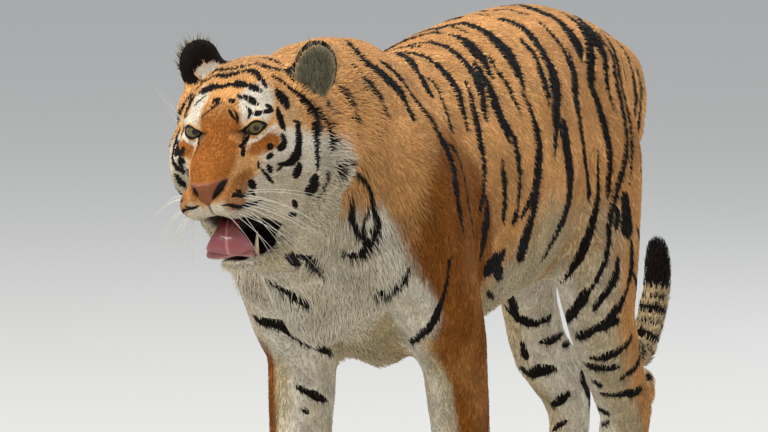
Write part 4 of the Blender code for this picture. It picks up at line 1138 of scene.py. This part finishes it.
def furOfSkin():
    spots, head, height = skin["spots"], skin["head"], skinPoints[:, 2]
    down, rear = -spots[:, 2], spots[:, 1]
    neck = partShare(skin["labels"], skinCorners, "neck")
    limbs = skin["fore"] + skin["hind"] + skin["paw"] + skin["tail"]
    ruff = ramp(rear, 0.02, 0.08) * ramp(down, -0.04, 0.05) * ramp(np.abs(spots[:, 0]), 0.04, 0.08)
    chin = ramp(down, 0.125, 0.155) * (rear < 0.05)
    low = ramp(roundFlank(skinPoints)[:, 1], 0.30, 0.40)
    rows = mixRows([
        ("belly", skin["pale"] * low * (1 - np.clip(limbs, 0, 1))),
        ("neck", neck),
        ("chest", ramp(-skinPoints[:, 1], 0.34, 0.44) * ramp(0.76 - height, 0, 0.1)),
        ("leg", np.clip(skin["fore"] + skin["hind"], 0, 1) * ramp(0.68 - height, 0, 0.15)),
        ("paw", skin["paw"]),
        ("tail", skin["tail"]),
        ("head", head),
        ("ruff", ruff * np.clip(head + neck, 0, 1)),
        ("face", ramp(-rear, -0.075, -0.015) * head),
        ("ruff", 0.35 * chin * head),
        ("ear", partShare(skin["labels"], skinCorners, "ear")),
        ("earInside", skin["innerEar"]),
    ])
    nose = np.linalg.norm((spots - np.array((0.004, -0.105, -0.05))) * (1, 0.8, 1), axis=1)
    short = 0.45 + 0.55 * ramp(nose, 0.02, 0.09)
    for side in sides:
        gap = np.linalg.norm(spots - eyeMiddle(side), axis=1)
        short = np.minimum(short, 0.4 + 0.6 * ramp(gap, 0.018, 0.045))
    rows[:, 0] *= np.where(head > 0.3, short, 1)
    rows[:, 2] *= 1 - ramp(skin["bare"], 0.15, 0.5)
    return rows


def unwrapOf(corners):
    # corner places of these skin triangles on a flat unwrap of their own shape
    used, index = np.unique(corners, return_inverse=True)
    temp = meshPiece("unwrap", skinPoints[used], index.reshape(-1, 3))
    temp.data.uv_layers.new(name="OFBake")
    bpy.context.view_layer.objects.active = temp
    temp.select_set(True)
    bpy.ops.object.mode_set(mode="EDIT")
    bpy.ops.mesh.select_all(action="SELECT")
    bpy.ops.uv.smart_project(angle_limit=math.radians(66), island_margin=0.004)
    bpy.ops.object.mode_set(mode="OBJECT")
    flat = np.empty(len(temp.data.loops) * 2)
    temp.data.uv_layers["OFBake"].data.foreach_get("uv", flat)
    data = temp.data
    bpy.data.objects.remove(temp)
    bpy.data.meshes.remove(data)
    return flat.reshape(-1, 3, 2)


# each tuft is a closed sliver: a root, one or two three-sided rings and a tip
tuftKinds = [
    # each ring has its place along the tuft, its width and its height
    {"faces": [(0, 3, 1), (0, 2, 3), (0, 1, 2), (4, 1, 3), (4, 3, 2), (4, 2, 1)],
     "rings": [(0.42, 1.0, 0.62)], "tip": 1.0, "droop": 0.0},
    {"faces": [(0, 3, 1), (0, 2, 3), (0, 1, 2), (1, 3, 6), (1, 6, 4), (3, 2, 5),
               (3, 5, 6), (2, 1, 4), (2, 4, 5), (7, 4, 6), (7, 6, 5), (7, 5, 4)],
     "rings": [(0.30, 1.0, 0.55), (0.66, 0.72, 0.92)], "tip": 0.95, "droop": 0.06},
]


def growTufts(name, chosen, weight, way, rows, dice):
    # roots picked over the chosen triangles, thicker where the coat is
    unwrap = unwrapOf(skinCorners[chosen])
    pick = np.searchsorted(np.cumsum(weight) / weight.sum(), dice.random(int(round(weight.sum()))))
    pick = np.minimum(pick, len(chosen) - 1)
    count, at = len(pick), skinCorners[chosen][pick]
    a, b = dice.random(count), dice.random(count)
    a, b = np.where(a + b > 1, 1 - a, a), np.where(a + b > 1, 1 - b, b)
    share = np.stack([1 - a - b, a, b], axis=1)

    def over(values):
        # numbers of the skin's points, carried to the roots
        return (values[at] * (share if values.ndim == 1 else share[:, :, None])).sum(axis=1)

    root, normal, row, head = over(skinPoints), over(skin["normals"]), over(rows), over(skin["head"])
    normal /= np.linalg.norm(normal, axis=1, keepdims=True)
    run = laidFlat(over(way), normal, np.radians(coat["spread"]) * dice.normal(size=count))
    across = np.cross(normal, run)
    length = row[:, 0] * dice.uniform(0.7, 1.25, count)
    width = row[:, 1] * dice.uniform(0.75, 1.3, count)
    stand = row[:, 3] * np.minimum(row[:, 0] * 0.32, 0.010) * dice.uniform(0.55, 1.15, count)
    stray = (0.0007 - 0.0004 * head) * dice.normal(size=count)
    edge = markEdge(root + run * length[:, None] * 0.35, head) + stray
    edge = np.where(over(skin["ear"]) > 0.4, over(skin["edge"]), edge)
    if name.startswith("coat_tail"):
        edge = ringEdge(root + run * length[:, None] * 0.3) + 0.0007 * dice.normal(size=count)
    made = {field: [] for field in ("points", "corners", "flat", "along", "ground", "edge", "tone")}
    ground, total = over(skin["ground"]), 0
    isLong = length > coat["long"]
    for picked, kind in zip((~isLong, isLong), tuftKinds):
        r, n, t, s = root[picked], normal[picked], run[picked], across[picked]
        l, w, h = length[picked, None], width[picked, None], stand[picked, None]
        parts = [r - n * 0.0006]
        for along, wide, high in kind["rings"]:
            middle, half = r + t * l * along + n * h * high, s * w * wide / 2
            parts += [middle - half, middle + half, middle + n * w * wide * 0.30]
        parts.append(r + t * l + n * h * kind["tip"] + np.array((0, 0, -1)) * l * kind["droop"])
        many, tufts = len(parts), len(r)
        alongs = np.array([0.0] + [ring[0] for ring in kind["rings"] for _ in range(3)] + [1.0])
        spread = np.stack([np.linspace(-0.5, 0.5, many), alongs - 0.5], axis=1) * coat["patch"]
        flat = (unwrap[pick[picked]] * share[picked][:, :, None]).sum(axis=1)[:, None] + spread
        starts = total + np.arange(tufts) * many
        total += tufts * many
        made["points"].append(np.stack(parts, axis=1).reshape(-1, 3))
        made["corners"].append((np.array(kind["faces"]) + starts[:, None, None]).reshape(-1, 3))
        made["flat"].append(flat.reshape(-1, 2))
        # the place along each tuft, from which the coat's material paints shade at the root
        made["along"].append(np.tile(alongs, tufts))
        made["ground"].append(np.repeat(ground[picked], many, axis=0))
        made["edge"].append(np.repeat(edge[picked], many))
        made["tone"].append(np.repeat(np.clip(dice.normal(size=tufts) * 0.45, -1, 1), many))
    made = {field: np.concatenate(values) for field, values in made.items()}
    piece = meshPiece(name, made["points"], made["corners"], furMaterial)
    addNumbers(piece.data, "ground", "FLOAT_COLOR", made["ground"])
    for field in ("edge", "tone", "along"):
        addNumbers(piece.data, field, "FLOAT", made[field])
    layer = piece.data.uv_layers.new(name="OFBake")
    layer.data.foreach_set("uv", made["flat"][made["corners"]].astype(np.float32).ravel())
    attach(piece, "root")
    return piece


def growCoat():
    way, rows = layOfCoat(), furOfSkin()
    a, b, c = (skinPoints[skinCorners[:, k]] for k in range(3))
    area = np.linalg.norm(np.cross(b - a, c - a), axis=1) / 2
    weight = area * 10000 * rows[:, 2][skinCorners].mean(axis=1)
    print("tufts wanted:", int(weight.sum()))
    weight *= coat["tufts"] / weight.sum()
    label = skin["labels"][skinCorners[:, 0]]
    total, made = 0, []
    for group, starts in coatGroups.items():
        order = np.flatnonzero(np.array([name.startswith(starts) for name in labelNames])[label])
        axis = 1 if group in ("head", "loin", "chest") else 0
        order = order[np.argsort(skinPoints[skinCorners[order, 0], axis])]
        parts = math.ceil(weight[order].sum() / coat["mostInPiece"])
        bounds = np.linspace(0, weight[order].sum(), parts + 1)[1:-1]
        bounds = np.searchsorted(np.cumsum(weight[order]), bounds)
        for number, chosen in enumerate(np.split(order, bounds), 1):
            dice = np.random.default_rng(100 + len(made))
            piece = growTufts(f"coat_{group}_{number}", chosen, weight[chosen], way, rows, dice)
            total += len(piece.data.polygons)
            made.append(piece)
            print(piece.name, len(piece.data.polygons))
    print("coat:", len(made), "pieces,", total, "triangles")
    return made


coatPieces = growCoat()


# eyes: a ball with a raised cornea, the iris painted by its angle from the gaze
eye = {
    "gaze": {"left": (0.47, -0.86, 0.16), "right": (0.12, -0.97, 0.20)},
    "rings": 40, "spokes": 56, "cornea": 0.0012, "corneaReach": 46,
    "colours": [
        # share of the way from the gaze to a right angle off it, and the colour there
        (0.0, (4, 4, 4)), (0.185, (4, 4, 4)), (0.21, (130, 108, 38)), (0.27, (98, 88, 28)),
        (0.40, (98, 88, 28)), (0.45, (44, 38, 16)), (0.48, (10, 8, 6)), (0.56, (120, 96, 74)),
        (1.0, (60, 40, 34)),
    ],
}


def eyeMaterial():
    material, wiring, shader = newMaterial("wetEye", 0.05)
    fleck = wiring.texture("Noise", {"Scale": 900}, "Fac")
    inputs = {0: fleck, 1: 0.06, 2: wiring.number("gaze")}
    shift = wiring.add("ShaderNodeMath", inputs, operation="MULTIPLY_ADD")
    rings = wiring.add("ShaderNodeValToRGB", {"Fac": shift.outputs[0]})
    stops = rings.color_ramp.elements
    while len(stops) < len(eye["colours"]):
        stops.new(0.5)
    for stop, (place, colour) in zip(stops, eye["colours"]):
        stop.position, stop.color = place, (*paint(*colour), 1)
    wiring.feed(shader, {"Base Color": rings.outputs["Color"], "Coat Weight": 0.3, "Coat Roughness": 0.02,
                         "Specular IOR Level": 0.35})
    return material


def ringFaces(rings, spokes, start, ends):
    # triangles between rings of points that follow one another, closed by a fan round a point at each end
    faces, last = [], start + (rings - 1) * spokes
    for s in range(spokes):
        t = (s + 1) % spokes
        for ring in range(start, last, spokes):
            a, b = ring + s, ring + t
            faces += [(a, b, a + spokes), (b, b + spokes, a + spokes)]
        faces += [(ends[0], start + t, start + s), (ends[1], last + s, last + t)]
    return np.array(faces)


def facingOut(points, corners):
    # turned so that the closed shape's faces point outwards
    a, b, c = (points[corners[:, k]] for k in range(3))
    return corners if (a * np.cross(b, c)).sum() > 0 else corners[:, ::-1]


def finishPiece(piece, node, numbers):
    for name, values in numbers.items():
        addNumbers(piece.data, name, "FLOAT", values)
    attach(piece, "root")
    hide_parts(node)


def ballOf(middle, radius, axis):
    axis = np.array(axis) / np.linalg.norm(axis)
    one = np.cross(axis, (0, 0, 1))
    one /= np.linalg.norm(one)
    two = np.cross(axis, one)
    rings, spokes, bulge = eye["rings"], eye["spokes"], eye["cornea"]
    points, gaze = [middle + axis * (radius + bulge)], [0.0]
    for a in np.linspace(0, np.pi, rings + 1)[1:-1]:
        out = radius + bulge * (1 - ramp(np.degrees(a), 0, eye["corneaReach"]))
        for s in np.linspace(0, 2 * np.pi, spokes, endpoint=False):
            outward = math.cos(s) * one + math.sin(s) * two
            points.append(middle + out * (math.cos(a) * axis + math.sin(a) * outward))
            gaze.append(math.degrees(a) / 90)
    points.append(middle - axis * radius)
    gaze.append(2.0)
    return np.array(points), ringFaces(rings - 1, spokes, 1, (0, len(points) - 1)), np.array(gaze)


def buildEyes():
    material = eyeMaterial()
    for side in sides:
        points, faces, gaze = ballOf(eyeMiddle(side), face["eyeRadius"], eye["gaze"][side])
        piece = meshPiece("eyeball_" + side, fromHead(points), facingOut(points, faces), material)
        finishPiece(piece, "eye_" + side, {"gaze": gaze})


# tongue: out over the lower lip, spread and hanging, with a seam down its middle
tongue = {
    "line": [
        (0.001, 0.020, -0.120), (0.001, -0.020, -0.108), (0.006, -0.052, -0.104), (0.012, -0.078, -0.107),
        (0.0165, -0.094, -0.114), (0.0185, -0.1015, -0.124), (0.0185, -0.100, -0.133),
        (0.018, -0.094, -0.139), (0.0175, -0.087, -0.1405),
    ],
    # half the width and the thickness at each place of the line
    "shape": [
        (0.017, 0.012, 0), (0.0165, 0.012, 0), (0.0160, 0.0115, 0), (0.0165, 0.011, 0), (0.0250, 0.011, 0),
        (0.0325, 0.0115, 0), (0.0335, 0.011, 0), (0.0320, 0.008, 0), (0.0200, 0.005, 0),
    ],
    # deep, dimmed further in the material, paints shade on the tongue's root inside the mouth
    "steps": 7, "rounds": 40, "pink": (164, 82, 84), "deep": (128, 48, 54), "pale": (204, 132, 128),
}


def tongueMaterial():
    material, wiring, shader = newMaterial("wetTongue", 0.30)
    seam = wiring.ranged(wiring.number("across"), 0.02, 0.10, (0.75, 0.0))
    # towards its root, far into the mouth, the tongue is darkened as painted shade
    depth = wiring.ranged(wiring.number("alongTongue"), 0.15, 0.62, kind="LINEAR")
    pink, deep, pale = (paint(*tongue[name]) for name in ("pink", "deep", "pale"))
    body = wiring.mixed(depth, (*deep * 0.4, 1), (*pink, 1))
    body = wiring.mixed(0.35, body, wiring.texture("Noise", {"Scale": 90}, "Color"), "MULTIPLY")
    bumps = wiring.texture("Voronoi", {"Scale": 620}, "Distance")
    wiring.feed(shader, {
        "Base Color": wiring.mixed(seam, body, (*pale, 1)), "Normal": wiring.bump(bumps, 0.35, 0.0006),
        "Subsurface Weight": 0.12, "Subsurface Radius": (0.006, 0.002, 0.0015),
        "Coat Weight": 0.5, "Coat Roughness": 0.15,
    })
    return material


def buildTongue():
    line, shape = (curveThrough(tongue[name], tongue["steps"]) for name in ("line", "shape"))
    count, rounds = len(line), tongue["rounds"]
    side = np.array((1.0, 0.0, 0.0))
    points, across, along = [], [], []
    for i, middle in enumerate(line):
        up = np.cross(side, line[min(i + 1, count - 1)] - line[max(i - 1, 0)])
        up *= (1 if np.dot(up, (0, -0.6, 1)) >= 0 else -1) / np.linalg.norm(up)
        half, thick = shape[i, :2]
        share = i / (count - 1)
        out = ramp(share, 0.45, 0.62)
        for a in np.linspace(0, 2 * math.pi, rounds, endpoint=False):
            x, y = math.cos(a), math.sin(a)
            wide = abs(x) ** 0.8 * math.copysign(1, x)
            seam = 0.0016 * math.exp(-(wide / 0.12) ** 2) if y > 0 else 0
            droop = -(0.0022 * out + 0.001) * wide ** 2 - seam
            crease = 0.002 * out * math.sin(3.0 * wide + 0.6) * (1 - wide ** 2)
            points.append(middle + side * half * wide + up * (thick / 2 * y + droop + crease))
            across.append(abs(wide) if y > 0 else 1.0)
            along.append(share)
    points += [line[0], line[-1] + (line[-1] - line[-2]) * 0.9]
    across += [1.0, 0.5]
    along += [0.0, 1.0]
    points = np.array(points)
    faces = ringFaces(count, rounds, 0, (len(points) - 2, len(points) - 1))
    faces = facingOut(points - points.mean(axis=0), faces)
    piece = meshPiece("tongue_blade", fromHead(points), faces, tongueMaterial())
    finishPiece(piece, "tongue", {"across": across, "alongTongue": along})


# teeth: the two lower canines, curved back a little
tooth = {
    "ivory": (226, 206, 160), "root": (176, 132, 78), "bend": 0.10, "flat": 0.85, "rings": 14, "spokes": 18,
}


def toothMaterial():
    material, wiring, shader = newMaterial("toothIvory", 0.28)
    tone = wiring.mixed(wiring.number("height"), (*paint(*tooth["root"]), 1), (*paint(*tooth["ivory"]), 1))
    stain = wiring.texture("Noise", {"Scale": 180}, "Color")
    wiring.feed(shader, {"Base Color": wiring.mixed(0.2, tone, stain, "MULTIPLY"), "Coat Weight": 0.4})
    return material


def buildTeeth():
    material = toothMaterial()
    rings, spokes = tooth["rings"], tooth["spokes"]
    for side in sides:
        low, high = (np.array(corner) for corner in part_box("canine_" + side))
        middle, tall = (low + high) / 2, high[2] - low[2]
        radius, bend = min(high[:2] - low[:2]) / 2, tooth["bend"] * tall
        points, height = [], []
        for t in np.arange(rings) / rings:
            wide = radius * (1 - 0.12 * math.sin(math.pi * t)) * (1 - t) ** 0.62
            for s in np.linspace(0, 2 * math.pi, spokes, endpoint=False):
                x, y = tooth["flat"] * wide * math.cos(s), wide * math.sin(s) + bend * (t * t - 0.3)
                points.append((middle[0] + x, middle[1] + y, low[2] + tall * t))
                height.append(min(1, 2.2 * t))
        points += [(middle[0], middle[1] + bend * 0.7, high[2]), (middle[0], middle[1], low[2])]
        height += [1.0, 0.0]
        points = np.array(points)
        faces = ringFaces(rings, spokes, 0, (len(points) - 1, len(points) - 2))
        piece = meshPiece("tooth_" + side, points, facingOut(points - middle, faces), material)
        finishPiece(piece, "canine_" + side, {"height": height})


# whiskers: stiff white hairs, swept out and down; rows of roots on each pad, and a few over each eye
whisker = {
    "root": 0.00062, "sides": 6, "steps": 12, "tip": 0.12,
    "white": (238, 234, 222), "cream": (214, 206, 186),
}
whiskerRows = [
    # the first and last root in the head's frame, how many, lengths, sweep (out, back, up), droop
    ((0.033, -0.086, -0.062), (0.046, -0.050, -0.066), 4, (0.085, 0.115), (0.95, 0.45, -0.10), 0.030),
    ((0.030, -0.092, -0.070), (0.048, -0.050, -0.076), 5, (0.085, 0.130), (0.90, 0.42, -0.34), 0.036),
    ((0.028, -0.094, -0.078), (0.047, -0.052, -0.085), 5, (0.075, 0.120), (0.78, 0.34, -0.62), 0.030),
    ((0.024, -0.094, -0.086), (0.042, -0.058, -0.092), 4, (0.060, 0.090), (0.62, 0.20, -0.86), 0.020),
    ((0.044, -0.022, 0.028), (0.062, -0.010, 0.026), 3, (0.040, 0.055), (0.45, -0.10, 0.85), -0.012),
]


def whiskerTree(material):
    tree = bpy.data.node_groups.new("whiskerTree", "GeometryNodeTree")
    sockets = (("Geometry", "Geometry", "INPUT"), ("Root radius", "Float", "INPUT"),
               ("Sides", "Int", "INPUT"), ("Geometry", "Geometry", "OUTPUT"))
    names = [tree.interface.new_socket(name, in_out=way, socket_type="NodeSocket" + kind).identifier
             for name, kind, way in sockets]
    wiring = Wiring(tree)
    given = wiring.add("NodeGroupInput", {}).outputs
    along = wiring.add("GeometryNodeSplineParameter", {}).outputs["Factor"]
    thin = wiring.ranged(along, 0.0, 1.0, (1.0, whisker["tip"]), "LINEAR")
    scale = wiring.add("ShaderNodeMath", {0: thin, 1: given["Root radius"]}, operation="MULTIPLY")
    curve = wiring.add("GeometryNodeMeshToCurve", {"Mesh": given["Geometry"]}).outputs["Curve"]
    ring = wiring.add("GeometryNodeCurvePrimitiveCircle", {"Resolution": given["Sides"], "Radius": 1.0})
    inputs = {"Curve": curve, "Profile Curve": ring.outputs["Curve"],
              "Scale": scale.outputs["Value"], "Fill Caps": True}
    swept = wiring.add("GeometryNodeCurveToMesh", inputs).outputs["Mesh"]
    real = wiring.add("GeometryNodeRealizeInstances", {"Geometry": swept}).outputs["Geometry"]
    made = wiring.add("GeometryNodeSetMaterial", {"Geometry": real, "Material": material})
    wiring.add("NodeGroupOutput", {"Geometry": made.outputs["Geometry"]})
    return tree, names[1], names[2]


def buildWhiskers():
    material, wiring, shader = newMaterial("whiskerHair", 0.35)
    fade = wiring.texture("Noise", {"Scale": 30}, "Fac")
    tone = wiring.mixed(fade, (*paint(*whisker["white"]), 1), (*paint(*whisker["cream"]), 1))
    wiring.feed(shader, {"Base Color": tone})
    tree, thick, around = whiskerTree(material)
    dice = np.random.default_rng(21)
    for side, sign in (("left", 1), ("right", -1)):
        points, edges = [], []
        for first, last, many, (short, long), sweep, drop in whiskerRows:
            first, last = np.array(first), np.array(last)
            for k in range(many):
                root = first + (last - first) * (k / max(many - 1, 1)) + dice.normal(size=3) * 0.001
                way = np.array(sweep) + dice.normal(size=3) * 0.09
                way /= np.linalg.norm(way)
                reach = short + (long - short) * dice.random()
                bend = np.array((-0.25, 0.30, -1)) * drop * dice.uniform(0.8, 1.5)
                start = len(points)
                for s in np.linspace(0, 1, whisker["steps"]):
                    points.append((root + way * reach * (s - 0.06) + bend * s * s) * (sign, 1, 1))
                edges += [(start + i, start + i + 1) for i in range(whisker["steps"] - 1)]
        mesh = bpy.data.meshes.new("whiskerLines")
        mesh.from_pydata(fromHead(np.array(points)).tolist(), edges, [])
        lines = bpy.data.objects.new("whiskerLines", mesh)
        bpy.context.scene.collection.objects.link(lines)
        grown = lines.modifiers.new("whiskers", "NODES")
        grown.node_group = tree
        grown[thick], grown[around] = whisker["root"], whisker["sides"]
        made = bpy.data.meshes.new_from_object(lines.evaluated_get(bpy.context.evaluated_depsgraph_get()))
        bpy.data.objects.remove(lines)
        made.shade_smooth()
        piece = bpy.data.objects.new("whiskers_" + side, made)
        bpy.context.scene.collection.objects.link(piece)
        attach(piece, "root")
        print(piece.name, len(made.polygons), "faces")


buildEyes()
buildTongue()
buildTeeth()
buildWhiskers()
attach(skinPiece, "root")
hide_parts(*fleshNodes)
